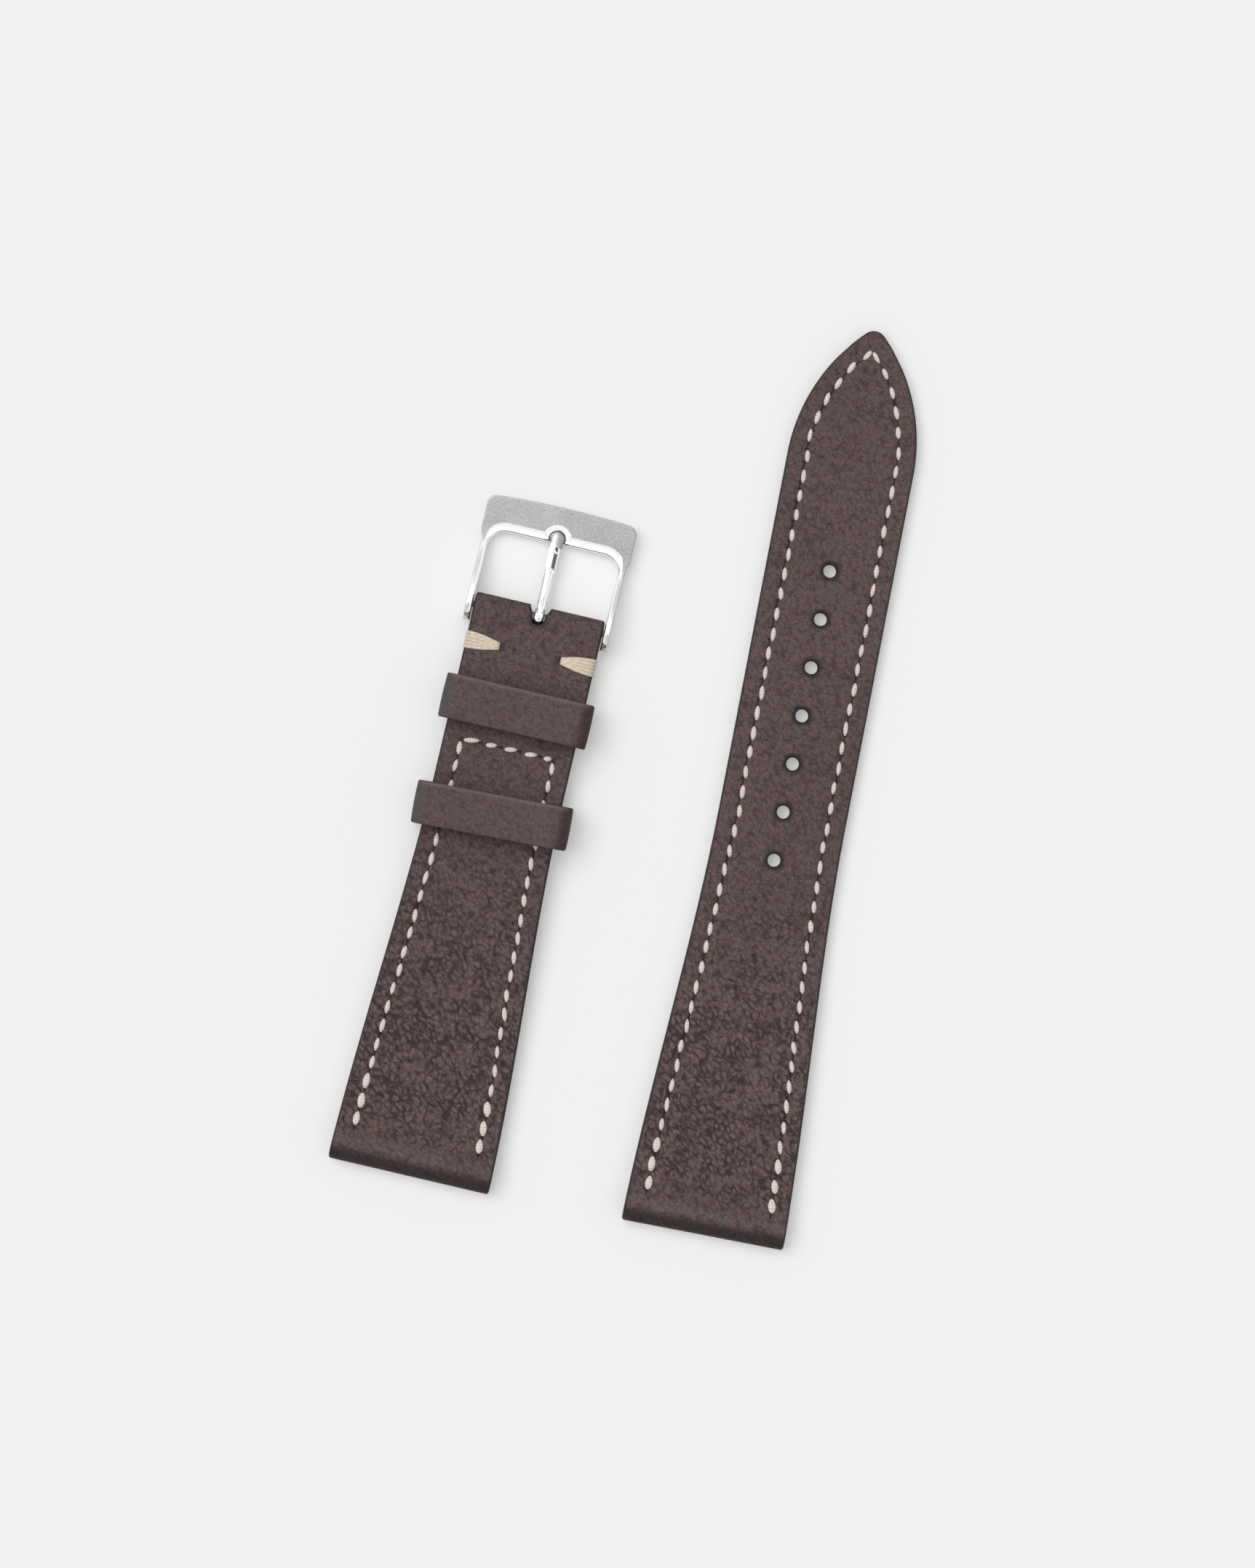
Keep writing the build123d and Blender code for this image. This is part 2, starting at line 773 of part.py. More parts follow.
# Tongue: an eye that turns on the barrel, and a shank that rests in the plate's seat
shank_start = bar_reach + loop_bore + eye_wall / 2
tip_under = plate_top - seat_depth + tongue_clearance
shank_under = bar_height - tongue_thickness / 2
with BuildPart() as buckle_tongue:
    with BuildSketch(buckle_side):
        with BuildLine():
            ease_curve((shank_start, shank_under), (plate_back - seat_radius, tip_under))
            ease_curve(
                (shank_start, shank_under + tongue_thickness),
                (plate_back - seat_radius, tip_under + tongue_thickness),
            )
            Line((shank_start, shank_under), (shank_start, shank_under + tongue_thickness))
            Polyline(
                (plate_back - seat_radius, tip_under),
                (plate_back + tongue_over_plate, tip_under),
                (plate_back + tongue_over_plate, tip_under + tongue_thickness),
                (plate_back - seat_radius, tip_under + tongue_thickness),
            )
        make_face()
    extrude(amount=eye_width, both=True)
    with BuildSketch(buckle_plan):
        with BuildLine():
            Polyline(
                (-tongue_root_width / 2, shank_start),
                (tongue_root_width / 2, shank_start),
                (tongue_neck_width / 2, plate_back - seat_radius),
                (tongue_tip_radius, tip_centre),
                (-tongue_tip_radius, tip_centre),
                (-tongue_neck_width / 2, plate_back - seat_radius),
                close=True,
            )
        make_face()
        with Locations((0, tip_centre)):
            Circle(tongue_tip_radius)
    extrude(amount=tall, both=True, mode=Mode.INTERSECT)
    with BuildSketch(buckle_side):
        with Locations((bar_reach, bar_height)):
            Circle(loop_bore + eye_wall)
    extrude(amount=eye_width / 2, both=True)
    with BuildSketch(buckle_side):
        with Locations((bar_reach, bar_height)):
            Circle(loop_bore)
    extrude(amount=eye_width, both=True, mode=Mode.SUBTRACT)
buckle_tongue.part.label = "buckle_tongue"

# Tail half: top leather, folded round the tunnel at the lug end
with BuildPart() as tail_top_leather:
    with BuildSketch(tail_side):
        with BuildLine():
            nose_fold()
            top_run(0, tail_thin_from, tail_top, tail_length)
            Line((tail_length, tail_top), (tail_length, tail_top - top_leather))
            top_run(-top_leather, tail_thin_from, tail_top, tail_length)
            filler_nose(pad_top - top_leather)
            Polyline(
                (filler_front, pad_under_filler),
                (tab_length, pad_under_filler),
                (tab_length, table),
                (0, table),
            )
        make_face()
        Circle(tunnel_radius, mode=Mode.SUBTRACT)
    extrude(amount=lug_width, both=True)
    with BuildSketch(tail_plan):
        add(tail_outline.sketch_local)
        add(hole_row.sketch_local, mode=Mode.SUBTRACT)
    extrude(amount=tall, both=True, mode=Mode.INTERSECT)
    add(tail_groove_cut.part, mode=Mode.SUBTRACT)
    rims = tail_top_leather.edges().filter_by(GeomType.CIRCLE).filter_by_position(
        Axis.Z, tail_top - bar_clearance, tail_top + bar_clearance
    )
    chamfer(rims.filter_by(lambda edge: edge.radius < 2 * hole_radius), hole_rim)
tail_top_leather.part.label = "tail_top_leather"

# Filler board of the tail half, which thins out towards the tip
with BuildPart() as tail_filler:
    with BuildSketch(tail_side):
        with BuildLine():
            filler_nose(pad_top - top_leather)
            top_run(-top_leather, tail_thin_from, tail_top, tail_length)
            Polyline(
                (tail_length, tail_top - top_leather),
                (tail_length, pad_under_filler),
                (filler_front, pad_under_filler),
            )
        make_face()
    extrude(amount=lug_width, both=True)
    with BuildSketch(tail_plan):
        add(tail_outline.sketch_local)
        add(hole_row.sketch_local, mode=Mode.SUBTRACT)
    extrude(amount=tall, both=True, mode=Mode.INTERSECT)
tail_filler.part.label = "tail_filler"

# Lining of the tail half, butted to the folded tab
with BuildPart() as tail_lining:
    with BuildSketch(tail_plan.offset(table)):
        add(tail_outline.sketch_local)
        add(hole_row.sketch_local, mode=Mode.SUBTRACT)
        with Locations((0, tab_length + tail_length / 2)):
            Rectangle(lug_width, tail_length, mode=Mode.INTERSECT)
    extrude(amount=lining)
    add(tail_groove_cut.part, mode=Mode.SUBTRACT)
tail_lining.part.label = "tail_lining"

# Thread of the tail half, whose two rows meet in a V at the tip
with BuildPart() as tail_stitching:
    with BuildSketch(tail_side):
        add(tail_thread_top(-groove_depth, stitch_rise))
        add(tail_thread_under(0, groove_depth))
    extrude(amount=lug_width, both=True)
    with BuildSketch(tail_plan):
        add(tail_stitches.sketch_local)
    extrude(amount=tall, both=True, mode=Mode.INTERSECT)
tail_stitching.part.label = "tail_stitching"

pieces = [
    buckle_side_top_leather.part,
    buckle_side_filler.part,
    buckle_side_lining.part,
    buckle_side_stitching.part,
    bar_tack_left,
    bar_tack_right,
    fixed_keeper,
    free_keeper,
    spring_bar_barrel.part,
    spring_bar_plunger_left,
    spring_bar_plunger_right,
    spring_bar_spring.part,
    buckle_frame.part,
    buckle_tongue.part,
    tail_top_leather.part,
    tail_filler.part,
    tail_lining.part,
    tail_stitching.part,
]
os.makedirs("parts", exist_ok=True)
for piece in pieces:
    export_step(piece, f"parts/{piece.label}.step")
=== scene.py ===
import math
from collections import namedtuple

import bmesh
import bpy
import numpy as np
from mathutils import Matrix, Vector


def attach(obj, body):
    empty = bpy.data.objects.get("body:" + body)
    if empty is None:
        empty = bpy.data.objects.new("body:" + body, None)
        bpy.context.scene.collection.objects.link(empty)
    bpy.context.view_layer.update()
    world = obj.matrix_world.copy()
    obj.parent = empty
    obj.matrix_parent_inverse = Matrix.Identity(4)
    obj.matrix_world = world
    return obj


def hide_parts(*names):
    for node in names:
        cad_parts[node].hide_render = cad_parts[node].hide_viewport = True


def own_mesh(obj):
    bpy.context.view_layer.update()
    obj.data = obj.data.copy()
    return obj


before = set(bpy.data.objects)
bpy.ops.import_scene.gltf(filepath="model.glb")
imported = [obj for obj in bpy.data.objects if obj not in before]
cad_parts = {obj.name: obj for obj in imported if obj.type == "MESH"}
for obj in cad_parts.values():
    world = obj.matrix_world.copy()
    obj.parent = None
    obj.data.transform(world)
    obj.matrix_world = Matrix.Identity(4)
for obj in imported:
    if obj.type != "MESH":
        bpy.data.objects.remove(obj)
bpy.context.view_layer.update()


# Camera: straight above the two halves, turned a little, as they lie in the photograph.
# The halves slant to the right there, so the camera's own x axis is turned by 13.2 degrees.
picture_middle, camera_height, picture_turn = (0.01505, 0.05059), 0.5, math.radians(13.16)
lens = bpy.data.cameras.new("overhead_camera")
lens.sensor_fit = "HORIZONTAL"
lens.sensor_width = 36
lens.lens = 118.4
lens.clip_start = 0.01
overhead = bpy.data.objects.new("overhead_camera", lens)
overhead.location = (*picture_middle, camera_height)
overhead.rotation_euler = (0, 0, picture_turn)
bpy.context.scene.collection.objects.link(overhead)
bpy.context.scene.camera = overhead

# Light: a wide soft lamp from the upper left of the picture, and an even studio round it.
# What the steel mirrors is a ring of white screens: dark below them, where the table is, a
# little dimmer above them, and darker again straight overhead, where the camera stands.
bpy.context.scene.view_settings.view_transform = "Standard"
towards_lamp = Vector((-0.50, 0.24, 1.2))
lamp = bpy.data.lights.new("soft_lamp", "SUN")
lamp.energy = 1.5
lamp.angle = math.radians(44)
soft_lamp = bpy.data.objects.new("soft_lamp", lamp)
soft_lamp.rotation_euler = towards_lamp.to_track_quat("Z", "Y").to_euler()
bpy.context.scene.collection.objects.link(soft_lamp)


class Flow:
    """A value on its way through a material: sums on it add Math nodes."""

    def __init__(self, tree, socket):
        self.tree, self.socket = tree, socket

    def math(self, operation, *others):
        node = self.tree.nodes.new("ShaderNodeMath")
        node.operation = operation
        for place, term in enumerate((self, *others)):
            feed(self.tree, node.inputs[place], term)
        return Flow(self.tree, node.outputs[0])

    def __add__(self, other):
        return self.math("ADD", other)

    def __mul__(self, other):
        return self.math("MULTIPLY", other)

    def __sub__(self, other):
        return self.math("SUBTRACT", other)

    def __rsub__(self, other):
        return (self * -1) + other

    __radd__ = __add__
    __rmul__ = __mul__

    def step(self, start, end):
        """0 before start, 1 after end, and smooth between them."""
        node = self.tree.nodes.new("ShaderNodeMapRange")
        node.interpolation_type = "SMOOTHSTEP"
        for name, term in (("Value", self), ("From Min", start), ("From Max", end)):
            feed(self.tree, node.inputs[name], term)
        return Flow(self.tree, node.outputs[0])


def feed(tree, socket, term):
    """Links a flow to a socket, or sets the socket to a plain value."""
    if isinstance(term, Flow):
        tree.links.new(term.socket, socket)
    else:
        socket.default_value = term


class Finish:
    """A material round one Principled shader; its other nodes come from add()."""

    def __init__(self, name, **sockets):
        self.material = bpy.data.materials.new(name)
        self.material.use_nodes = True
        self.tree = self.material.node_tree
        self.shader = self.tree.nodes["Principled BSDF"]
        self.set(**sockets)

    def set(self, **sockets):
        for name, term in sockets.items():
            feed(self.tree, self.shader.inputs[name.replace("_", " ")], term)

    def add(self, kind, settings=(), output=0, **sockets):
        """A node of that kind: its settings are set first, then its sockets."""
        node = self.tree.nodes.new(kind)
        for name, setting in dict(settings).items():
            if name == "stops":
                ramp = node.color_ramp.elements
                while len(ramp) < len(setting):
                    ramp.new(0.5)
                for stop, (place, colour) in zip(ramp, setting):
                    stop.position, stop.color = place, colour
            else:
                setattr(node, name, setting)
        for name, term in sockets.items():
            key = int(name[1:]) if name[1:].isdigit() else name.replace("_", " ")
            feed(self.tree, node.inputs[key], term)
        return Flow(self.tree, node.outputs[output])

    def place(self):
        return self.add("ShaderNodeTexCoord", output="Object")

    def attribute(self, name):
        return self.add("ShaderNodeAttribute", {"attribute_name": name}, output="Fac")

    def blend(self, share, low, high):
        """The colour low turning to high as share goes from 0 to 1."""
        return self.add(
            "ShaderNodeMix", {"data_type": "RGBA"}, output=2, _0=share, _6=low, _7=high
        )

    def bump(self, height, distance, strength=1.0):
        return self.add(
            "ShaderNodeBump", Height=height, Distance=distance, Strength=strength
        )


studio = bpy.data.worlds.new("studio")
bpy.context.scene.world = studio
studio.use_nodes = True
sky = studio.node_tree
sky_ray = sky.nodes.new("ShaderNodeTexCoord")
sky_height = sky.nodes.new("ShaderNodeSeparateXYZ")
sky.links.new(sky_ray.outputs["Generated"], sky_height.inputs[0])
sky_up = Flow(sky, sky_height.outputs["Z"])
below = 1 - sky_up.step(0.10, 0.40)
above = sky_up.step(0.45, 0.92)
overhead_gap = sky_up.step(0.975, 0.992)
screens = 1.15 - above * 0.28 - below * 1.02 - overhead_gap * 0.74
path = sky.nodes.new("ShaderNodeLightPath")
mirrored = Flow(sky, path.outputs["Is Glossy Ray"]).math(
    "MAXIMUM", Flow(sky, path.outputs["Is Transmission Ray"])
)
even_light = sky_up.step(0.3, 1.0) * 0.85 + 0.10
level = mirrored * screens + (1 - mirrored) * even_light
sky.links.new(level.socket, sky.nodes["Background"].inputs["Color"])
sky.nodes["Background"].inputs["Strength"].default_value = 1.0

# Floor: a plain pale sheet of paper under both halves, which keeps their soft shadow.
# It is seen and mirrored a little brighter than the lamp alone makes it.
paper_level, paper_side, paper_white = -0.00172, 3, (0.88, 0.88, 0.88, 1)
floor_corners = ((-1, -1), (1, -1), (1, 1), (-1, 1))
floor_mesh = bpy.data.meshes.new("paper_floor")
floor_mesh.from_pydata(
    [(paper_side * x, paper_side * y, paper_level) for x, y in floor_corners], [], [(0, 1, 2, 3)]
)
floor = bpy.data.objects.new("paper_floor", floor_mesh)
bpy.context.scene.collection.objects.link(floor)
paper = Finish("pale_paper", Base_Color=paper_white, Roughness=0.9, Specular_IOR_Level=0.0)
paper.set(Normal=paper.bump(paper.add("ShaderNodeTexNoise", Scale=400.0), 0.00002))
seen = paper.add("ShaderNodeLightPath", output="Is Camera Ray")
for kind in ("Is Glossy Ray", "Is Transmission Ray"):
    seen = seen.math("MAXIMUM", paper.add("ShaderNodeLightPath", output=kind))
backdrop = paper.add("ShaderNodeEmission", Color=paper_white, Strength=1.0)
lit = Flow(paper.tree, paper.shader.outputs[0])
mixed = paper.add("ShaderNodeMixShader", _0=seen * 0.32, _1=lit, _2=backdrop)
paper.tree.links.new(mixed.socket, paper.tree.nodes["Material Output"].inputs["Surface"])
floor_mesh.materials.append(paper.material)


# Top leather of both halves: goat hide, folded at the lug end round the tunnel for the watch's
# bar, and on the buckle half folded back again round the buckle's own bar, with a tongue slot.
# Its shape is a sheet: a pair of side lines, outer and inner, carried across the width. Sizes
# are in millimetres, with the tunnel's axis at y = 0 and z = 0 and y running along the half.
table, top_ply, lining_ply = -1.7, 0.8, 0.7
edge_round, lip, stitch_inset = 0.32, 0.07, 2.2
lug_width, buckle_width = 19.9, 15.9
tunnel, fold_half, pad_top, shoulder_end = 0.95, 1.7, 0.95, 6.0
tab_end, pad_end, filler_front = 10.5, 11.5, 2.4
bar_y, bar_z, bar_bore = 67.6, 0.5, 0.8
fold_start, flap_end = 64.6, 49.9
hole_pitch, hole_first, holes = 5.95, 44.5, 7
hole_step = hole_pitch / 16
grid_cell = 0.372


def eased(low, high, share):
    """Leaves low and reaches high smoothly: low + (high - low)(3 s^2 - 2 s^3)."""
    share = np.clip(share, 0, 1)
    return low + (high - low) * share**2 * (3 - 2 * share)


def arc(centre, radius, start, end, count):
    """Points on a circle from one angle to another, in degrees."""
    turn = np.radians(np.linspace(start, end, count))
    return np.stack([centre[0] + radius * np.cos(turn), centre[1] + radius * np.sin(turn)], 1)


def along(points, count):
    """Points at even spacing along a broken line through the given points."""
    points = np.asarray(points, float)
    reach = np.concatenate([[0], np.cumsum(np.hypot(*np.diff(points, axis=0).T))])
    spots = np.linspace(0, reach[-1], count)
    return np.stack([np.interp(spots, reach, points[:, axis]) for axis in (0, 1)], 1)


def grid_faces(rows, columns, closed_rows=False, closed_columns=False):
    """Quads of a grid whose vertices are numbered row by row."""
    down = np.arange(rows if closed_rows else rows - 1)
    right = np.arange(columns if closed_columns else columns - 1)
    down, right = np.meshgrid(down, right, indexing="ij")
    below, beside = (down + 1) % rows, (right + 1) % columns
    corners = [
        down * columns + right,
        down * columns + beside,
        below * columns + beside,
        below * columns + right,
    ]
    return np.stack(corners, -1).reshape(-1, 4)


def end_faces(rows, columns):
    """The two faces that close the ends of a tube of that many rings."""
    ring = np.arange(columns)[None]
    return [ring[:, ::-1], (rows - 1) * columns + ring]


def make_piece(
    name, points, faces, material, body, nodes, turned=None, smooth=50, marks=()
):
    """A mesh piece from points in millimetres; its normals are made to face outwards."""
    points = points.reshape(-1, 3)
    if turned is not None:
        points = turned(points)
    mesh = bpy.data.meshes.new(name)
    corners = [face for block in faces for face in block.tolist()]
    mesh.from_pydata((points * 0.001).tolist(), [], corners)
    for mark, values in dict(marks).items():
        layer = mesh.attributes.new(mark, "FLOAT", "POINT")
        layer.data.foreach_set("value", np.asarray(values, np.float32).ravel())
    shell = bmesh.new()
    shell.from_mesh(mesh)
    loose = [vertex for vertex in shell.verts if not vertex.link_faces]
    bmesh.ops.delete(shell, geom=loose, context="VERTS")
    bmesh.ops.remove_doubles(shell, verts=shell.verts, dist=1e-7)
    bmesh.ops.recalc_face_normals(shell, faces=shell.faces)
    shell.to_mesh(mesh)
    shell.free()
    mesh.shade_smooth()
    mesh.set_sharp_from_angle(angle=math.radians(smooth))
    mesh.materials.append(material)
    piece = bpy.data.objects.new(name, mesh)
    bpy.context.scene.collection.objects.link(piece)
    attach(piece, body)
    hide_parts(*nodes)
    return piece


buckle_taper_start, buckle_taper = -2.7, 50
tail_taper_start, tail_taper = -4.7, 54.5


def buckle_half_width(y):
    return eased(lug_width, buckle_width, (y - buckle_taper_start) / buckle_taper) / 2


tail_width, tip_side, tip_point, tail_length = 15.5, 22.2, 1.6, 109.8
tip_middle = tail_width / 2 - tip_side
tip_start = tail_length - tip_point - math.sqrt((tip_side - tip_point) ** 2 - tip_middle**2)
tip_turn = math.atan2(tail_length - tip_point - tip_start, -tip_middle)


def tail_half_width(y):
    """Eased taper, then the tip's side arc, then the small arc at its point."""
    wide = eased(lug_width, tail_width, (y - tail_taper_start) / tail_taper) / 2
    side = tip_middle + np.sqrt(np.maximum(tip_side**2 - np.maximum(y - tip_start, 0) ** 2, 0))
    point = np.sqrt(np.maximum(tip_point**2 - np.maximum(y - tail_length + tip_point, 0) ** 2, 0))
    meet = tip_start + tip_side * math.sin(tip_turn)
    return np.where(y < tip_start, wide, np.where(y < meet, side, point))


def buckle_inset(x, y):
    """How far a point of the plan lies inside the half's long edge."""
    return buckle_half_width(y) - np.abs(x)


def tail_inset(x, y):
    """The same for the tail half, with its distance from the tip's two arcs."""
    side = tail_half_width(np.minimum(y, tip_start)) - np.abs(x)
    over_x, over_y = np.abs(x) - tip_middle, y - tip_start
    arc_inset = tip_side - np.hypot(over_x, over_y)
    point_inset = tip_point - np.hypot(x, y - tail_length + tip_point)
    tip = np.where(np.arctan2(over_y, over_x) > tip_turn, point_inset, arc_inset)
    return np.where(y < tip_start, side, tip)


# A cut through a sheet: its first and last row, how many rows are as long as a grid cell is
# wide, its half width at y, the radius of its rim, and its widening on the hidden face. The
# square of cells that a cut opens is made round within the larger square that it bends.
Cut = namedtuple("Cut", "first last pace radius rim pocket")
cut_square, cut_reach = 3, 6
hidden_middle = cut_reach + 1
rim_steps, halo = 4, 0.9


def seen_places(half, fine):
    """Places across the seen face, from -half to half: even cells in the middle, then finer
    steps past the stitches and round the edge. At the tip the whole row shrinks."""
    if fine:
        edge = np.sin(np.radians(np.linspace(0, 90, 7)))
        steps = [np.arange(1, 6) / 6, 1 + np.arange(14) / 14, 2 + np.arange(5) / 5, 3 + edge]
        zone = np.concatenate(steps)
    else:
        zone = np.array([0.5, 1.0, 1.5, 2.0, 3.0, 3.6, 3.9, 4.0])
    full = np.maximum(half, tail_width / 2)[:, None]
    middle_end = full * 0 + cut_reach * grid_cell
    stops = np.concatenate([middle_end, full - 3.0, full - 1.4, full - edge_round, full], 1)
    right = np.stack([np.interp(zone, np.arange(5), stop) for stop in stops])
    cells = np.arange(cut_reach + 1) * grid_cell
    right = np.concatenate([np.broadcast_to(cells, (len(half), len(cells))), right], 1)
    return np.concatenate([-right[:, :0:-1], right], 1) * np.minimum(half[:, None] / full, 1)


def hidden_places(half):
    """Places across the hidden face: even cells in the middle, and one at each lip."""
    full = np.maximum(half, tail_width / 2)[:, None]
    beyond = 99.0
    cells = np.arange(-cut_reach, cut_reach + 1) * grid_cell
    back = np.concatenate([[-beyond], cells, [beyond]])[None]
    return np.clip(back, lip - full, full - lip) * np.minimum(half[:, None] / full, 1)


def bend(row, x, cell, cut, size):
    """Grid places near a cut, moved along their own direction from its end, so that the inner
    square of cells lands on the circle of that size and the outer square stays."""
    end = np.clip(row, cut.first, cut.last)
    past = (row - end) / cut.pace
    reach, direct = np.maximum(np.abs(past), np.abs(cell)), np.hypot(past, cell)
    circle, square = size / grid_cell, direct * cut_reach / np.maximum(reach, 1e-9)
    out = circle + (reach - cut_square) / (cut_reach - cut_square) * (square - circle)
    near = (reach <= cut_reach) & (np.abs(cell) <= cut_reach)
    out = np.where(near, np.maximum(out, 0) / np.maximum(direct, 1e-9), 1)
    new_row = np.where(near, end + past * out * cut.pace, row)
    return new_row, np.where(near, cell * out * grid_cell, x)


def cut_loop(low, high):
    """Rows and cells of the grid points round a cut's opening, one after the other."""
    side, edge = np.arange(low, high), np.arange(-cut_square, cut_square)
    rows = [edge * 0 + low, side, edge * 0 + high, side[::-1] + 1]
    cells = [edge, side * 0 + cut_square, -edge, side * 0 - cut_square]
    return np.concatenate(rows), np.concatenate(cells)


def sheet(outer, inner, width, inset, fine, press=None, cuts=()):
    """Vertices, faces and marks of a closed sheet of leather.

    Row r of the grid crosses the half at outer(r) on the seen face and at inner(r) on the
    hidden one. The seen face sinks towards the hidden one by a quarter circle of edge_round
    at the long edge, and by press(x, y) where thread pulls it in. Each cut opens the middle
    columns of both faces, and its walls run from a quarter round at the rim to the other side.
    """
    rows, count = len(outer), np.arange(len(outer))
    hidden_half = width(inner[:, 0])
    across, back = seen_places(width(outer[:, 0]), fine), hidden_places(hidden_half)
    seen, hidden = across.shape[1], back.shape[1]
    seen_middle, columns = seen // 2, seen + 1 + hidden + 1

    def y_at(row):
        return np.interp(row, count, outer[:, 0])

    def place(row, x, sink):
        """A point sink below the outer line towards the inner one, and never past that."""
        skin = np.stack([np.interp(row, count, outer[:, k]) for k in (0, 1)], -1)
        core = np.stack([np.interp(row, count, inner[:, k]) for k in (0, 1)], -1)
        thick = np.linalg.norm(core - skin, axis=-1, keepdims=True)
        spot = skin + (core - skin) * np.minimum(sink[..., None] / thick, 1)
        return np.concatenate([x[..., None], spot], -1)

    row, cell = np.meshgrid(count * 1.0, np.arange(seen) - seen_middle, indexing="ij")
    hidden_row, hidden_cell = np.meshgrid(
        count * 1.0, np.arange(hidden) - hidden_middle, indexing="ij"
    )
    for cut in cuts:
        row, across = bend(row, across, cell, cut, cut.radius(y_at(row)) + cut.rim)
        pocket = cut.radius(y_at(hidden_row)) + cut.pocket
        hidden_row, back = bend(hidden_row, back, hidden_cell, cut, pocket)
    from_edge = inset(across, y_at(row))
    depth = edge_round - np.clip(from_edge, 0, edge_round)
    sink = edge_round - np.sqrt(edge_round**2 - depth**2)
    if press is not None:
        sink = sink + press(across, y_at(row))
    thickness = np.linalg.norm(inner - outer, axis=1)[:, None]
    lip_row, lip_x = count[:, None] * 1.0, hidden_half[:, None]
    points = np.concatenate(
        [
            place(row, across, sink),
            place(lip_row, lip_x, thickness - lip),
            place(hidden_row, back, hidden_row * 0 + thickness.max())[:, ::-1],
            place(lip_row, -lip_x, thickness - lip),
        ],
        1,
    )
    paint, worn = np.ones((rows, columns)), np.zeros((rows, columns))
    paint[:, :seen] = 1 - np.clip(from_edge / 0.5, 0, 1)
    # Round each cut the face turns darker and smoother: partly a real burnished rim, partly
    # painted shade at the opening.
    for cut in cuts:
        past = np.abs(count - np.clip(count, cut.first, cut.last))[:, None] / cut.pace
        from_cut = np.maximum(past, np.abs(cell)) - cut_square
        worn[:, :seen] = np.maximum(worn[:, :seen], np.clip(1 - from_cut / halo, 0, 1))

    faces = grid_faces(rows, columns, closed_columns=True)
    face_row, face_column = faces[:, 0] // columns, faces[:, 0] % columns
    keep = np.ones(len(faces), bool)
    blocks, walls = [points.reshape(-1, 3)], []
    for cut in cuts:
        low, high = cut.first - cut_square * cut.pace, cut.last + cut_square * cut.pace
        inside = (face_row >= low) & (face_row < high)
        for middle in (seen_middle, seen + 1 + hidden_middle):
            from_middle = face_column - middle
            keep &= ~(inside & (from_middle >= -cut_square) & (from_middle < cut_square))
        loop_row, loop_cell = cut_loop(low, high)
        loop = np.arange(len(loop_row))
        rings = [loop_row * columns + seen_middle + loop_cell]
        for angle in np.radians(np.linspace(0, 90, rim_steps + 1))[1:]:
            size = cut.radius(y_at(loop_row)) + cut.rim * (1 - math.sin(angle))
            at_row, at_x = bend(loop_row * 1.0, loop_row * 0.0, loop_cell, cut, size)
            rings.append(sum(len(block) for block in blocks) + loop)
            blocks.append(place(at_row, at_x, at_row * 0 + cut.rim * (1 - math.cos(angle))))
        rings = np.stack([*rings, loop_row * columns + seen + 1 + hidden_middle - loop_cell])
        after = np.roll(rings, -1, 1)
        wall = np.stack([rings[:-1], rings[1:], after[1:], after[:-1]], -1)
        walls.append(wall.reshape(-1, 4))
    points = np.concatenate(blocks)
    wall_points = len(points) - rows * columns
    # The cuts' walls are darkened all through, as painted shade down the opening.
    marks = {
        "paint": np.append(paint, np.zeros(wall_points)),
        "worn": np.append(worn, np.ones(wall_points)),
    }
    return points, [faces[keep], *walls, *end_faces(rows, columns)], marks


def shoulder(y):
    """Top of a half from the lug fold down to its level pad."""
    return eased(fold_half, pad_top, y / shoulder_end)


def lug_fold():
    """Outer and inner side lines from the folded tab's end, round the tunnel, to the filler's
    front. Each stretch of the outer line faces one of the inner line with as many points."""
    seam, tab_top = 0.02, table + lining_ply
    near, far = 1.0, 1.6
    under = [(tab_end, filler_front, 42), (filler_front, far, 6), (far, near, 5), (near, 0, 8)]
    outer = [along([(start, table), (end, table)], count) for start, end, count in under]
    outer.append(arc((0, 0), fold_half, 270, 90, 25))
    for start, end, count in ((0, near, 8), (near, far, 5), (far, filler_front, 6)):
        y = np.linspace(start, end, count)
        outer.append(np.stack([y, shoulder(y)], 1))
    inner = [
        along([(tab_end, tab_top), (filler_front, tab_top)], 42),
        along([(filler_front, tab_top), (filler_front, -seam)], 6),
        along([(filler_front, -seam), (tunnel, -seam)], 5),
        arc((0, 0), tunnel, -1, -90, 8),
        arc((0, 0), tunnel, 270, 90, 25),
        arc((0, 0), tunnel, 90, 1, 8),
        along([(tunnel, seam), (filler_front, seam)], 5),
        along([(filler_front, seam), (filler_front, shoulder(filler_front) - top_ply)], 6),
    ]
    return np.concatenate(outer), np.concatenate(inner)


def drop_twins(outer, inner):
    """Leaves out rows that repeat the one before them."""
    same = np.abs(np.diff(outer, axis=0)).sum(1) + np.abs(np.diff(inner, axis=0)).sum(1)
    keep = np.concatenate([[True], same > 1e-6])
    return outer[keep], inner[keep]


thin_top, thin_under, bar_fold = 1.6, -0.6, 1.55
tail_thin_top, buckle_slope, tail_slope = 0.3, 22.5, 28.5


def buckle_top(y):
    """Shoulder, level pad, the long rise to the keepers, and the rise on to the bar."""
    rise = pad_top + (thin_top - pad_top) * np.clip((y - pad_end) / buckle_slope, 0, 1)
    over_bar = eased(thin_top, bar_z + bar_fold, (y - fold_start) / (bar_y - fold_start))
    return np.where(y > fold_start, over_bar, np.where(y > pad_end, rise, shoulder(y)))


def buckle_under(y):
    """Level back, then a rise off the table as the filler thins out, and down to the bar."""
    rise = table + (thin_under - table) * np.clip((y - pad_end) / buckle_slope, 0, 1)
    under_bar = eased(thin_under, bar_z - bar_fold, (y - fold_start) / (bar_y - fold_start))
    return np.where(y > fold_start, under_bar, rise)


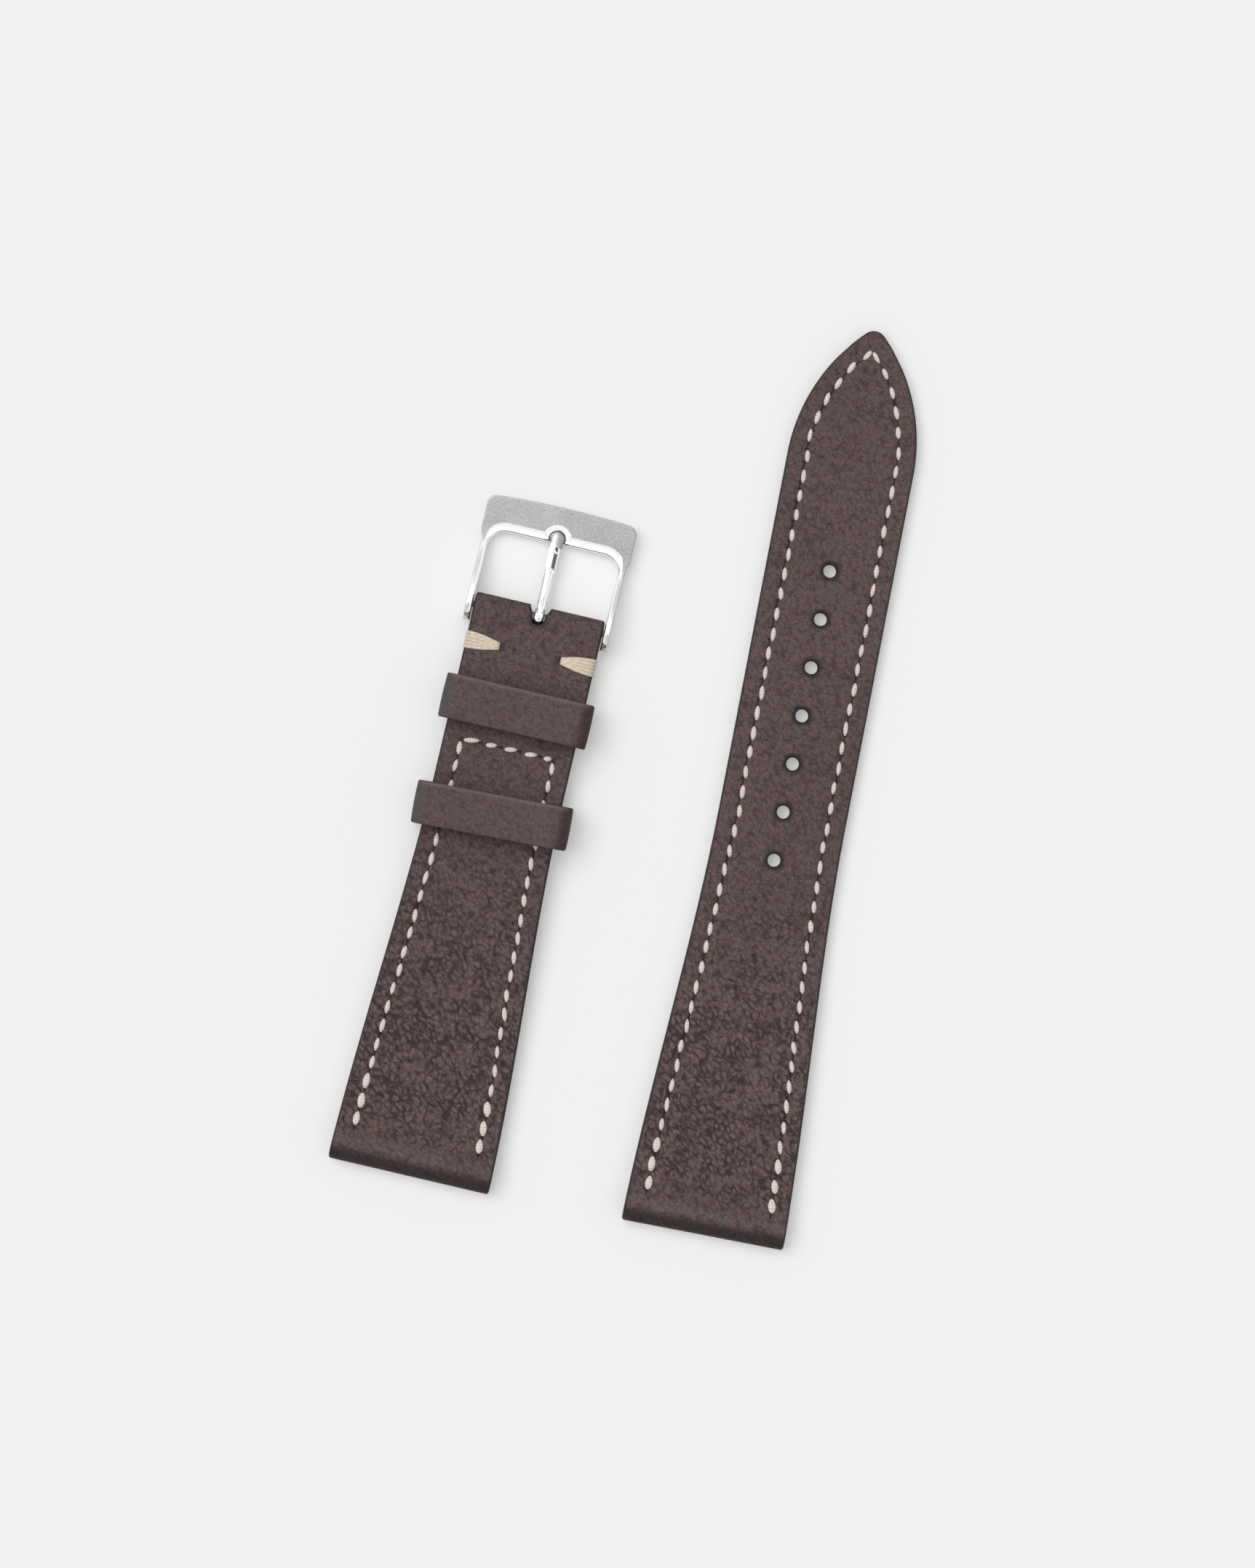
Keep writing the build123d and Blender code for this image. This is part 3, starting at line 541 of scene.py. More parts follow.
def tail_top(y):
    """Shoulder, level pad, and the long fall to the thin end."""
    fall = pad_top + (tail_thin_top - pad_top) * np.clip((y - pad_end) / tail_slope, 0, 1)
    return np.where(y > pad_end, fall, shoulder(y))


def thread_pull(off, run, last):
    """How far a row of stitches, counted by run up to last, pulls the face in: a soft valley
    of 0.06 mm along the stitches and 0.20 mm at the pricks between them."""
    valley = np.exp(-((off / 0.45) ** 2))
    ends = eased(0, 1, (run + 0.6) / 0.35) * eased(1, 0, (run - last - 0.25) / 0.35)
    return valley * ends * (0.06 + 0.14 * (0.5 - 0.5 * np.cos(2 * np.pi * run)))


buckle_first, buckle_pitch, buckle_last = 3.75, 2.3275, 20
cross_y, cross_pitch, cross_reach = 51.4, 2.42, 5.9
tail_first, tip_gap, usual_pitch = 3.3, 0.8, 2.42
row_arc = tip_side - stitch_inset
tail_row = tip_start + row_arc * math.acos(-tip_middle / row_arc) - tip_gap - tail_first
tail_last = round(tail_row / usual_pitch)
tail_pitch = tail_row / tail_last
tack_y, tack_hole_x = 63.25, 3.55


def buckle_rows(x, y):
    """Distance from the nearest stitch row, and the count of stitches along it."""
    side, cross = np.abs(buckle_inset(x, y) - stitch_inset), np.abs(y - cross_y)
    nearer = (side < cross) | (np.abs(x) > cross_reach)
    run = np.where(nearer, (y - buckle_first) / buckle_pitch, x / cross_pitch + 2)
    return np.where(nearer, side, cross), run


def tack_hole(x, y):
    """How near a point is to the hole that a bar tack's thread comes out of."""
    return np.exp(-((np.hypot((np.abs(x) - tack_hole_x) / 0.40, (y - tack_y) / 0.52)) ** 3))


def buckle_press(x, y):
    return thread_pull(*buckle_rows(x, y), buckle_last) + 0.22 * tack_hole(x, y)


def tail_rows(x, y):
    """The same for the tail, whose row runs on by the angle round the tip's arc."""
    turn = np.arctan2(y - tip_start, np.abs(x) - tip_middle)
    run = np.where(y < tip_start, y, tip_start + row_arc * turn)
    return np.abs(tail_inset(x, y) - stitch_inset), (run - tail_first) / tail_pitch


def tail_press(x, y):
    return thread_pull(*tail_rows(x, y), tail_last)


def turn_tail(points):
    """Puts the tail half beside the buckle half, turned a little to the left."""
    tunnel_x, tunnel_y, turn = 36.2, 1.15, math.radians(2.25)
    x, y, z = points[:, 0], points[:, 1], points[:, 2]
    right = tunnel_x + x * math.cos(turn) - y * math.sin(turn)
    return np.stack([right, tunnel_y + x * math.sin(turn) + y * math.cos(turn), z], 1)


def hide(name, dark, light, grain, paint=(0.034, 0.032, 0.034, 1)):
    """Pebbled goat leather: small domed pebbles and slanting creases that come and go, fine
    pores and dark painted edges. Painted shade darkens the pebbles' rims, the creases and
    the stitch grooves and pricks; round cuts and folds a darker, smoother skin is partly a
    real burnish and partly painted shade; a keeper gets painted light and shade on its sides,
    and ridges get a painted highlight."""
    skin = Finish(name, Specular_IOR_Level=0.15)
    spot = skin.place()
    sway = skin.add("ShaderNodeTexNoise", output="Color", Vector=spot, Scale=800.0, Detail=2.0)
    swayed = skin.add(
        "ShaderNodeMix", {"data_type": "VECTOR"}, output=1, _0=0.0007, _4=spot, _5=sway
    )

    def slanted(long, short):
        """The place in a pattern drawn out to the lower right."""
        return skin.add(
            "ShaderNodeMapping", {"vector_type": "TEXTURE"}, Vector=swayed,
            Rotation=(0, 0, math.radians(-44)), Scale=(long, short, 1.0),
        )

    near_lug = skin.attribute("grainy")
    pebbles = skin.add(
        "ShaderNodeTexVoronoi", {"feature": "SMOOTH_F1"},
        Vector=slanted(1.25, 0.9), Scale=1900.0, Smoothness=0.4,
    )
    crease = skin.add(
        "ShaderNodeTexVoronoi", {"feature": "DISTANCE_TO_EDGE"},
        Vector=slanted(1.45, 0.9), Scale=1300.0,
    )
    pores = skin.add("ShaderNodeTexNoise", Vector=spot, Scale=4000.0, Detail=4.0, Roughness=0.7)
    drift = skin.add("ShaderNodeTexNoise", Vector=spot, Scale=420.0, Detail=2.0, Roughness=0.5)
    cloud = skin.add("ShaderNodeTexNoise", Vector=spot, Scale=60.0, Detail=2.0)
    dome = 1 - pebbles * pebbles * 1.6
    furrow = (1 - crease.step(0.0, 0.24)) * (drift.step(0.35, 0.60) * 0.75 + 0.25) * near_lug
    # Painted shade: the tone falls towards each pebble's rim (dome) and along the creases
    # (furrow).
    tone = (
        dome * (near_lug * 0.24 + 0.16)
        + pores * (1.05 - near_lug * 0.35)
        + cloud * 0.12
        - furrow * (0.34 * grain)
        - 0.30
        + near_lug * (0.11 * grain)
    )
    colour = skin.blend(tone.step(0.0, 0.9), dark, light)
    tint = skin.add("ShaderNodeTexNoise", output="Color", Vector=spot, Scale=1900.0, Detail=3.0)
    colour = skin.add(
        "ShaderNodeMix", {"data_type": "RGBA", "blend_type": "SOFT_LIGHT"},
        output=2, _0=0.28, _6=colour, _7=tint,
    )
    # Painted shade at the stitch rows: a dark line along the groove between stitches and dark
    # pricked holes where the thread goes in.
    off, beat = skin.attribute("row_off"), skin.attribute("row_run")
    wave = (beat * (2 * math.pi)).math("COSINE")
    line = (1 - off.step(0.05, 0.20)) * (1 - wave.step(-0.5, 0.2)) * 0.85
    prick = (1 - off.step(0.10, 0.36)) * (1 - (wave + 0.35).math("ABSOLUTE").step(0.05, 0.5))
    sewn = line.math("MAXIMUM", prick) * skin.attribute("sewn")
    edge, worn, bent = (skin.attribute(mark) for mark in ("paint", "worn", "bent"))
    edge = edge.step(0.35, 0.90)
    # Colours laid over the hide: painted shade down a keeper's right side, painted light down its
    # left, a painted highlight, the real edge paint, burnish with painted shade round cuts and
    # folds, and painted shade at the stitches.
    for share, overlay_colour in (
        (bent.step(0.05, 0.9) * 0.6, (0.054, 0.026, 0.026, 1)),
        ((bent * -1).step(0.05, 0.9) * 0.85, (0.085, 0.077, 0.080, 1)),
        (skin.attribute("rubbed") * 0.5, (0.175, 0.140, 0.138, 1)),
        (edge, paint),
        (worn * 0.8, (0.014, 0.011, 0.012, 1)),
        (sewn * 0.92, (0.009, 0.006, 0.006, 1)),
    ):
        colour = skin.blend(share, colour, overlay_colour)
    relief = dome * (near_lug * 0.9 + 0.25) * grain + pores * 0.5 - furrow * (0.5 * grain)
    skin.set(
        Base_Color=colour,
        Roughness=0.64 - dome * 0.06 + pores * 0.16 - edge * 0.12 - worn * 0.12,
        Normal=skin.bump(relief * (1 - edge * 0.8), 0.00011, 1.0),
    )
    return skin.material


top_hide = hide("goat_leather", (0.046, 0.028, 0.0285, 1), (0.184, 0.127, 0.128, 1), 1.0)


def sew_marks(points, marks, rows, last, flat=1.0):
    """Marks of a sheet: its stitch rows up to stitch last, how grainy the hide is along the
    half, painted shade with some burnish on the fold at the tunnel, a painted highlight on
    the ridge behind it, and painted shade in the tacks' holes."""
    x, y, upper = points[:, 0], points[:, 1], points[:, 2] > 0
    off, run = rows(x, y)
    in_row = (run > -0.6) & (run < last + 0.6) & (off < 1.0)
    grainy = flat * (0.16 + 0.84 * eased(1, 0, (y - 16) / 34)) * eased(0.3, 1, (y - 1.5) / 4)
    fold = eased(1, 0, (y + 0.5) / 1.0) * eased(0, 1, (y + 1.66) / 0.10)
    ridge = eased(0, 1, (y - 0.3) / 0.5) * eased(1, 0, (y - 0.9) / 1.1)
    # Painted shade, with some burnish, on the fold round the tunnel, and painted shade in the tack
    # holes.
    worn = np.maximum(marks["worn"], 0.95 * fold * (points[:, 2] > -0.6))
    worn = np.maximum(worn, flat * tack_hole(x, y) * upper * (rows is buckle_rows))
    return {
        **marks,
        "worn": worn,
        "row_off": off,
        "row_run": run,
        "sewn": in_row * (1 - marks["worn"]),
        "grainy": grainy,
        # A painted highlight along the ridge behind the fold.
        "rubbed": 0.35 * flat * ridge * upper,
    }


def fold_bore(y, side):
    """Inner line of the buckle fold: the two plies meet up to the bore round the bar."""
    bore = np.sqrt(np.maximum(bar_bore**2 - (y - bar_y) ** 2, 1e-4))
    return np.stack([y, bar_z + side * bore], 1)


outer, inner = lug_fold()
foot_end, glue = 58.85, 0.01
run = np.linspace(filler_front, fold_start, 312)[1:]
under_run = np.linspace(fold_start, flap_end, 61)[1:]
rise = np.linspace(fold_start, bar_y, 17)[1:]
flat_run, seam_run = run[run < foot_end], run[run >= foot_end]
under_seam, under_flat = under_run[under_run >= foot_end], under_run[under_run < foot_end]
over_seam, below_seam = bar_z + glue, bar_z - glue
outer = np.concatenate(
    [
        outer,
        np.stack([run, buckle_top(run)], 1),
        np.stack([rise, buckle_top(rise)], 1),
        arc((bar_y, bar_z), bar_fold, 90, -90, 25)[1:],
        np.stack([rise[::-1], buckle_under(rise[::-1])], 1)[1:],
        [[fold_start, thin_under]],
        np.stack([under_run, buckle_under(under_run)], 1),
    ]
)
top_seam = [(foot_end, thin_top - top_ply), (foot_end, over_seam), (fold_start, over_seam)]
flap_top = thin_under + lining_ply
flap_seam = [(fold_start, below_seam), (foot_end, below_seam), (foot_end, flap_top)]
inner = np.concatenate(
    [
        inner,
        np.stack([flat_run, buckle_top(flat_run) - top_ply], 1),
        along(top_seam, len(seam_run)),
        fold_bore(rise, 1),
        arc((bar_y, bar_z), bar_bore, 90, -90, 25)[1:],
        fold_bore(np.append(rise[-2::-1], fold_start), -1),
        along(flap_seam, len(under_seam) + 1)[1:],
        np.stack([under_flat, buckle_under(under_flat) + lining_ply], 1),
    ]
)
outer, inner = drop_twins(outer, inner)
bar_row = int(np.argmin(np.hypot(outer[:, 0] - bar_y, outer[:, 1] - bar_z - bar_fold)))


def slot_reach(y):
    """Half width of the tongue slot: straight at its closed end, flared at its mouth."""
    return 0.80 + 0.44 * eased(0, 1, (y - bar_y - 0.3) / 1.25)


tongue_slot = Cut(bar_row, bar_row + 24, 2, slot_reach, 0.10, 0.62)
points, faces, marks = sheet(
    outer, inner, buckle_half_width, buckle_inset, True, buckle_press, [tongue_slot]
)
make_piece(
    "buckle_half_top_leather", points, faces, top_hide, "strap",
    ["buckle_side_top_leather"], marks=sew_marks(points, marks, buckle_rows, buckle_last),
)

tail_run = hole_first + hole_step / 2 * np.arange(-226, 331)
tip_run = tail_length - tip_point + tip_point * np.sin(np.radians(np.linspace(-15, 90, 30)))
tail_run = np.concatenate([tail_run[tail_run < tip_run[0] - 0.1], tip_run])
outer, inner = lug_fold()
outer = np.concatenate([outer, np.stack([tail_run, tail_top(tail_run)], 1)])
inner = np.concatenate([inner, np.stack([tail_run, tail_top(tail_run) - top_ply], 1)])
outer, inner = drop_twins(outer, inner)


def hole_reach(y):
    """Half width of an adjusting hole, the same everywhere."""
    return 0.80 + 0 * y


def hole_cuts(line, pace, rim):
    """One round cut for each adjusting hole, at the row of the line that is nearest to it."""
    places = hole_first + hole_pitch * np.arange(holes)
    rows = [int(np.argmin(np.abs(line[:, 0] - place))) for place in places]
    return [Cut(row, row, pace, hole_reach, rim, 0.0) for row in rows]


points, faces, marks = sheet(
    outer, inner, tail_half_width, tail_inset, True, tail_press, hole_cuts(outer, 2, 0.26)
)
make_piece(
    "tail_half_top_leather", points, faces, top_hide, "tail", ["tail_top_leather"],
    turned=turn_tail, marks=sew_marks(points, marks, tail_rows, tail_last),
)

# Filler board of both halves: a wedge that thickens each half towards the lugs, glued in
# between the plies. Only its dark painted edge and the walls of the holes are seen.
board = hide("edge_painted_board", (0.03, 0.022, 0.022, 1), (0.06, 0.045, 0.045, 1), 0.3)
filler_end, painted_depth = 53.3, 2.5
run = np.linspace(filler_front, filler_end, 140)
points, faces, marks = sheet(
    np.stack([run, buckle_top(run) - top_ply], 1),
    np.stack([run, buckle_under(run) + lining_ply], 1),
    buckle_half_width, lambda x, y: buckle_inset(x, y) * painted_depth, False,
)
make_piece(
    "buckle_half_filler", points, faces, board, "strap", ["buckle_side_filler"],
    marks={**marks, "paint": marks["paint"] * 0 + 1},
)
run = hole_first + hole_step * np.arange(-113, 166)
run = run[(run > filler_front + 0.1) & (run < tip_run[0] - 0.1)]
run = np.concatenate([[filler_front], run, tip_run])
line = np.stack([run, tail_top(run) - top_ply], 1)
points, faces, marks = sheet(
    line, np.stack([run, run * 0 + table + lining_ply], 1),
    tail_half_width, lambda x, y: tail_inset(x, y) * painted_depth, False, None,
    hole_cuts(line, 1, 0.01),
)
make_piece(
    "tail_half_filler", points, faces, board, "tail", ["tail_filler"],
    turned=turn_tail, marks={**marks, "paint": marks["paint"] * 0 + 1},
)

# Lining of both halves: a thin smooth brown leather on the wrist's side, butted to the
# folded tab at the lug end, glued to the board and sewn through with the top.
lining_hide = hide("lining_leather", (0.080, 0.048, 0.034, 1), (0.165, 0.108, 0.080, 1), 0.15)
smooth = 0.3
run = np.linspace(tab_end, flap_end, 198)
points, faces, marks = sheet(
    np.stack([run, buckle_under(run)], 1), np.stack([run, buckle_under(run) + lining_ply], 1),
    buckle_half_width, buckle_inset, True, buckle_press,
)
make_piece(
    "buckle_half_lining", points, faces, lining_hide, "strap",
    ["buckle_side_lining"], marks=sew_marks(points, marks, buckle_rows, buckle_last, smooth),
)
run = np.concatenate([[tab_end], tail_run[tail_run > tab_end + 0.05]])
line = np.stack([run, run * 0 + table], 1)
points, faces, marks = sheet(
    line, line + (0, lining_ply), tail_half_width, tail_inset, True, tail_press,
    hole_cuts(line, 2, 0.15),
)
make_piece(
    "tail_half_lining", points, faces, lining_hide, "tail", ["tail_lining"],
    turned=turn_tail, marks=sew_marks(points, marks, tail_rows, tail_last, smooth),
)


# Stitching: waxed cream thread, sewn by hand with two needles through pricked holes.
# Each stitch dives into the leather at both ends and lies at a slant; the first three of each
# row are sewn twice and are fatter.
def thread_finish(name, dark, light, twist=1.0):
    """Twisted thread: slanting strands, read from the stitch's own length and girth."""
    cord = Finish(name, Roughness=0.55, Specular_IOR_Level=0.3, Sheen_Weight=0.15)
    fibre = cord.add("ShaderNodeTexNoise", Vector=cord.place(), Scale=3000.0, Detail=3.0)
    around = (cord.attribute("strand") * (2 * math.pi)).math("SINE") * 0.5 + 0.5
    strand = around * (0.22 * twist) + fibre * 0.55
    cord.set(
        Base_Color=cord.blend(strand.step(-0.1, 0.7), dark, light),
        Normal=cord.bump(strand, 0.00005, 0.6),
    )
    return cord.material


waxed_thread = thread_finish("waxed_thread", (0.50, 0.41, 0.37, 1), (0.80, 0.71, 0.67, 1))
hand = np.random.default_rng(7)
stitch_rings, stitch_sides = 9, 8


def stitches(places, top):
    """Stitches as spindles: at t from -1 to 1 along one, its radius is (1 - t^2)^0.65 of its
    own, and its middle line rises to the face as 1 - t^4. top is 1 above and -1 below."""
    x, y, turn, length, width, level = np.asarray(places, float).T[:, :, None, None]
    t = np.sin(np.linspace(-math.pi / 2, math.pi / 2, stitch_rings))[None, :, None]
    ring = np.linspace(0, 2 * math.pi, stitch_sides, endpoint=False)[None, None, :]
    radius = np.maximum(1 - t**2, 0) ** 0.65
    side = np.cos(ring) * radius * width / 2
    run = t * length / 2 + 0 * ring
    lift = top * (np.sin(ring) * radius * 0.16 - 0.01 - 0.24 * t**4)
    right = x + side * np.cos(turn) - run * np.sin(turn)
    ahead = y + side * np.sin(turn) + run * np.cos(turn)
    spots = np.stack([right, ahead, level + lift + 0 * turn], -1)
    strand = t * length * 1.3 + np.sin(ring) * 0.35 + 0 * x
    faces = grid_faces(stitch_rings, stitch_sides, closed_columns=True)
    faces = faces[None] + (np.arange(len(places)) * stitch_rings * stitch_sides)[:, None, None]
    return spots.reshape(-1, 3), faces.reshape(-1, 4), strand.ravel()


def row_places(across, along_row, turn, level, slants, strays=(0, 0)):
    """Place, turn, length, width and height of a right row's stitches and of its left twins.
    slants is how far, in degrees, the thread leans off each of the two rows, and strays how
    far each of them has strayed towards the middle."""
    count = len(across)
    doubled = np.arange(count) < 3
    both = []
    for side, slant, stray in zip((1, -1), slants, strays):
        long = np.where(doubled, 2.0, 1.74) + hand.normal(0, 0.08, count)
        wide = np.where(doubled, 0.88, 0.60) + hand.normal(0, 0.03, count)
        lean = np.radians(slant + hand.normal(0, 3.0, count))
        x = side * (across - stray) + hand.normal(0, 0.05, count)
        y = along_row + hand.normal(0, 0.06, count)
        both.append(np.stack([x, y, side * turn + lean, long, wide, level], 1))
    return np.concatenate(both)


def sewn_piece(name, upper, lower, body, node, turned=None):
    """The stitches of both faces of a half as one mesh."""
    (above, over, strand), (below, under, lower_strand) = stitches(upper, 1), stitches(lower, -1)
    return make_piece(
        name, np.concatenate([above, below]), [over, under + len(above)], waxed_thread, body,
        [node], turned, marks={"strand": np.append(strand, lower_strand)},
    )


# Along the taper the stitches turn inwards with the edge, by half of its slope.
lower_lift = 0.18
run = buckle_first + buckle_pitch * np.arange(buckle_last + 1)
tapered = (run - buckle_taper_start) / buckle_taper
turn = 6 / buckle_taper * tapered * (1 - tapered)
cross = np.array([-4.5, -2.05, 0.35, 2.85, 4.95])
cross_shift, cross_long = (0.05, 0, 0.02, -0.03, -0.05), (2.1, 1.5, 1.7, 1.7, 1.1)
flat = cross * 0
faces_of_half = []
for surface, lift in ((buckle_top, 0.0), (buckle_under, lower_lift)):
    rows = row_places(
        buckle_half_width(run) - stitch_inset, run, turn, surface(run) + lift, (8, 1)
    )
    cross_row = [
        cross, flat + cross_y + cross_shift, flat + math.pi / 2 + 0.17,
        flat + cross_long, flat + 0.6, surface(flat + cross_y) + lift,
    ]
    faces_of_half.append(np.concatenate([rows, np.stack(cross_row, 1)]))
sewn_piece("buckle_half_stitching", *faces_of_half, "strap", "buckle_side_stitching")

run = tail_first + np.arange(tail_last + 1) * tail_pitch
straight, turn = np.minimum(run, tip_start), np.maximum(run - tip_start, 0) / row_arc
place_y = straight + row_arc * np.sin(turn)
place_x = tail_half_width(straight) - stitch_inset - row_arc * (1 - np.cos(turn))
right_slant = np.interp(place_y, (0, 38, 46, 95, 106), (14, 14, 4, 4, -2))
left_slant = np.interp(place_y, (0, 95, 106), (5, 5, 11))
left_stray = 0.22 * eased(0, 1, (place_y - 42) / 8) * (turn == 0)
faces_of_half = [
    row_places(place_x, place_y, turn, level, (right_slant, left_slant), (0, left_stray))
    for level in (tail_top(place_y), place_y * 0 + table + lower_lift)
]
sewn_piece("tail_half_stitching", *faces_of_half, "tail", "tail_stitching", turn_tail)


# Keepers: two leather bands, each closed into a loop; one is held at the cross row by its foot
# between the two plies, and the other slides along the strap and lies a little askew.
keeper_hide = hide("keeper_leather", (0.056, 0.037, 0.038, 1), (0.172, 0.120, 0.124, 1), 0.4)


def loop_line(width, low, high, top_corner, foot_corner, corner=9, side=12):
    """A closed rounded box in x and z, with the same number of points on every side."""
    half, top, foot = width / 2, high - top_corner, low + foot_corner
    foot_x, top_x = half - foot_corner, half - top_corner
    stretches = [
        along([(-foot_x, low), (foot_x, low)], side),
        arc((foot_x, foot), foot_corner, -90, 0, corner),
        along([(half, foot), (half, top)], side),
        arc((top_x, top), top_corner, 0, 90, corner),
        along([(top_x, high), (-top_x, high)], side),
        arc((-top_x, top), top_corner, 90, 180, corner),
        along([(-half, top), (-half, foot)], side),
        arc((-foot_x, foot), foot_corner, 180, 270, corner),
    ]
    return np.concatenate([stretch[:-1] for stretch in stretches])


def keeper(name, width, length, foot, foot_wall, middle, skew, body, node):
    """A band: a rounded flat section with a faint crown, carried round the loop between its
    outer and inner line. skew is how far it lies askew, in degrees."""
    loop_top, wall, round_off, crown = 5.0, 1.0, 0.22, 0.06
    outer = loop_line(width, foot, loop_top, 2.2, 1.3)
    inner = loop_line(width - 2 * wall, foot + foot_wall, loop_top - wall, 1.2, 0.15)
    corner = np.radians(np.linspace(0, 90, 5))
    reach, bulge = length / 2 - round_off, round_off * np.sin(corner)
    edge = round_off * (1 - np.cos(corner))
    run = np.concatenate(
        [
            np.linspace(-reach, reach, 16), reach + bulge[1:], reach + bulge[::-1],
            np.linspace(reach, -reach, 4)[1:], -reach - bulge[1:], -reach - bulge[:0:-1],
        ]
    )
    share = np.concatenate(
        [
            crown * np.linspace(-1, 1, 16) ** 2, edge[1:] + crown, 1 - edge[::-1],
            np.ones(3), 1 - edge[1:], edge[:0:-1] + crown,
        ]
    )
    spot = outer[:, None] + (inner - outer)[:, None] * share[None, :, None]
    slant = math.radians(skew)
    x, y, z = spot[..., 0], run[None, :], spot[..., 1]
    right = x * math.cos(slant) - y * math.sin(slant)
    points = np.stack([right, middle + x * math.sin(slant) + y * math.cos(slant), z], -1)
    faces = grid_faces(*x.shape, True, True)
    # Painted shade down the band's right side, painted light down its left side, and a painted
    # highlight along the top of its edge towards the buckle.
    bent = np.sign(x) * np.clip((np.abs(x) - width / 2 + 1.7) / 1.0, 0, 1)
    front_edge = (np.arange(len(run)) >= 15) & (np.arange(len(run)) <= 18)
    marks = {"bent": bent, "rubbed": front_edge * (z > loop_top - wall)}
    return make_piece(
        name, points, [faces], keeper_hide, body, [node], marks=marks
    )


keeper("fixed_keeper_band", 18.3, 5.4, 0.1, 0.7, 56.1, 0, "strap", "fixed_keeper")
keeper("free_keeper_band", 19.1, 5.2, table, 1.0, 43.2, 2.4, "sliding_keeper", "free_keeper")


# Bar tacks: linen thread wound round each long edge below the buckle, to lock the fold.
# The turns leave one pricked hole and fan out towards the edge.
linen = thread_finish("linen_thread", (0.50, 0.41, 0.31, 1), (0.80, 0.71, 0.58, 1), 0.45)


def tack(name, side):
    """Five threads side by side: a line up out of the hole, over the edge and back under. The
    third number of each stop is how far the threads have fanned out there."""
    turns, width, half, hole = 5, 1.7, buckle_width / 2, 3.85
    stops = np.array(
        [
            (hole, 1.0, 0.36), (hole + 0.05, 1.5, 0.38), (hole + 0.4, 1.72, 0.45),
            (half - 2.1, 1.76, 0.86), (half - 0.45, 1.72, 1.0), (half - 0.1, 1.4, 1.0),
            (half + 0.02, 0.5, 1.0),
            (half - 0.1, -0.4, 1.0), (half - 0.45, -0.72, 1.0), (half - 2.1, -0.76, 0.86),
            (hole + 0.4, -0.72, 0.45), (hole + 0.05, -0.5, 0.38), (hole, 0.1, 0.36),
        ]
    )
    rings, sides = 49, 10
    fine = np.linspace(0, len(stops) - 1, rings)
    line = np.stack([np.interp(fine, np.arange(len(stops)), stop) for stop in stops.T], 1)
    for _ in range(2):
        line[1:-1] = (line[:-2] + 2 * line[1:-1] + line[2:]) / 4
    x, z, fan = line.T[:, None]
    spread = (np.arange(turns) / (turns - 1) - 0.5)[:, None]
    path = np.stack([side * x + 0 * spread, tack_y + spread * width * fan, z + 0 * spread], -1)
    forward = np.gradient(path, axis=1)
    forward /= np.linalg.norm(forward, axis=-1, keepdims=True)
    flat = np.array([0, 1.0, 0]) - forward * forward[..., 1:2]
    flat /= np.linalg.norm(flat, axis=-1, keepdims=True)
    up = np.cross(forward, flat)
    ring = np.linspace(0, 2 * math.pi, sides, endpoint=False)
    radius = 0.13 + 0.10 * fan[..., None, None]
    around = np.cos(ring)[:, None] * flat[:, :, None] + np.sin(ring)[:, None] * up[:, :, None]
    shift = (np.arange(turns) * rings * sides)[:, None, None]
    tubes = (grid_faces(rings, sides, closed_columns=True)[None] + shift).reshape(-1, 4)
    caps = (np.concatenate(end_faces(rings, sides))[None] + shift).reshape(-1, sides)
    strand = np.linspace(0, 18, rings)[:, None] + ring / (2 * math.pi) + spread[..., None] * 3
    return make_piece(
        name, path[:, :, None] + radius * around, [tubes, caps], linen, "strap",
        ["bar_" + name.replace("_threads", "")], marks={"strand": strand},
    )


tack("tack_left_threads", -1)
tack("tack_right_threads", 1)


# Buckle frame: one piece of stainless steel, two blade arms and a plate, turned about the bar.
# Its plate is satin on top; the bevel round the opening, the arms and the seat are polished.
def steel(name, satin):
    """Steel whose polish varies: mirror bright where the mark polish is 1, satin where it is 0."""
    metal = Finish(name, Metallic=1.0)
    spot = metal.place()
    blast = metal.add("ShaderNodeTexNoise", Vector=spot, Scale=4200.0, Detail=4.0, Roughness=0.75)
    smear = metal.add("ShaderNodeTexNoise", Vector=spot, Scale=260.0, Detail=3.0, Roughness=0.6)
    if satin:
        polish, dark, light = metal.attribute("polish"), 0.14, 0.44
    else:
        turned = metal.add("ShaderNodeTexNoise", Vector=spot, Scale=50.0)
        # This turned steel is painted very dark, as painted shade: the spring bar lies in shade
        # inside the buckle fold.
        polish, dark, light = turned * 0.2, 0.05, 0.13
    matt = metal.blend(
        (blast * 0.75 + smear * 0.25).step(0.1, 0.9),
        (dark, dark, dark * 1.02, 1),
        (light, light, light * 1.015, 1),
    )
    metal.set(
        Base_Color=metal.blend(polish, matt, (0.90, 0.90, 0.90, 1)),
        Roughness=(1 - polish) * (blast * 0.16 + 0.30) + smear * 0.04 + 0.05,
        Normal=metal.bump(blast * (1 - polish * 0.95) + smear * 0.2, 0.000008, 0.7),
    )
    return metal.material


buckle_steel = steel("buckle_steel", True)
ear, arm_inside, arm_outside, plate_half = 2.1, 8.1, 8.9, 9.25
plate_back, plate_top, plate_front, front_bow = 77.0, 0.5, 81.1, 0.3
window_corner, front_corner = 2.2, 1.1
window_x, window_y = window_corner - arm_inside, plate_back - window_corner
corner_x, corner_y = plate_half - front_corner, 80.0
seat_y, seat_radius = 77.5, 1.75


def frame_side(y, side, plate):
    """The frame seen from the side: a round ear, then an eased line to the plate. side is 1
    for its top and -1 for its underside."""
    round_ear = bar_z + side * np.sqrt(np.maximum(ear**2 - (bar_y - y) ** 2, 0))
    arm = eased(bar_z + side * ear, plate, (y - bar_y) / (plate_back - bar_y))
    return np.where(y < bar_y, round_ear, arm)


def front_line(x):
    """The plate's front edge, bowed out a little in the middle."""
    return np.stack([x, plate_front + front_bow * (1 - (x / corner_x) ** 2)], 1)


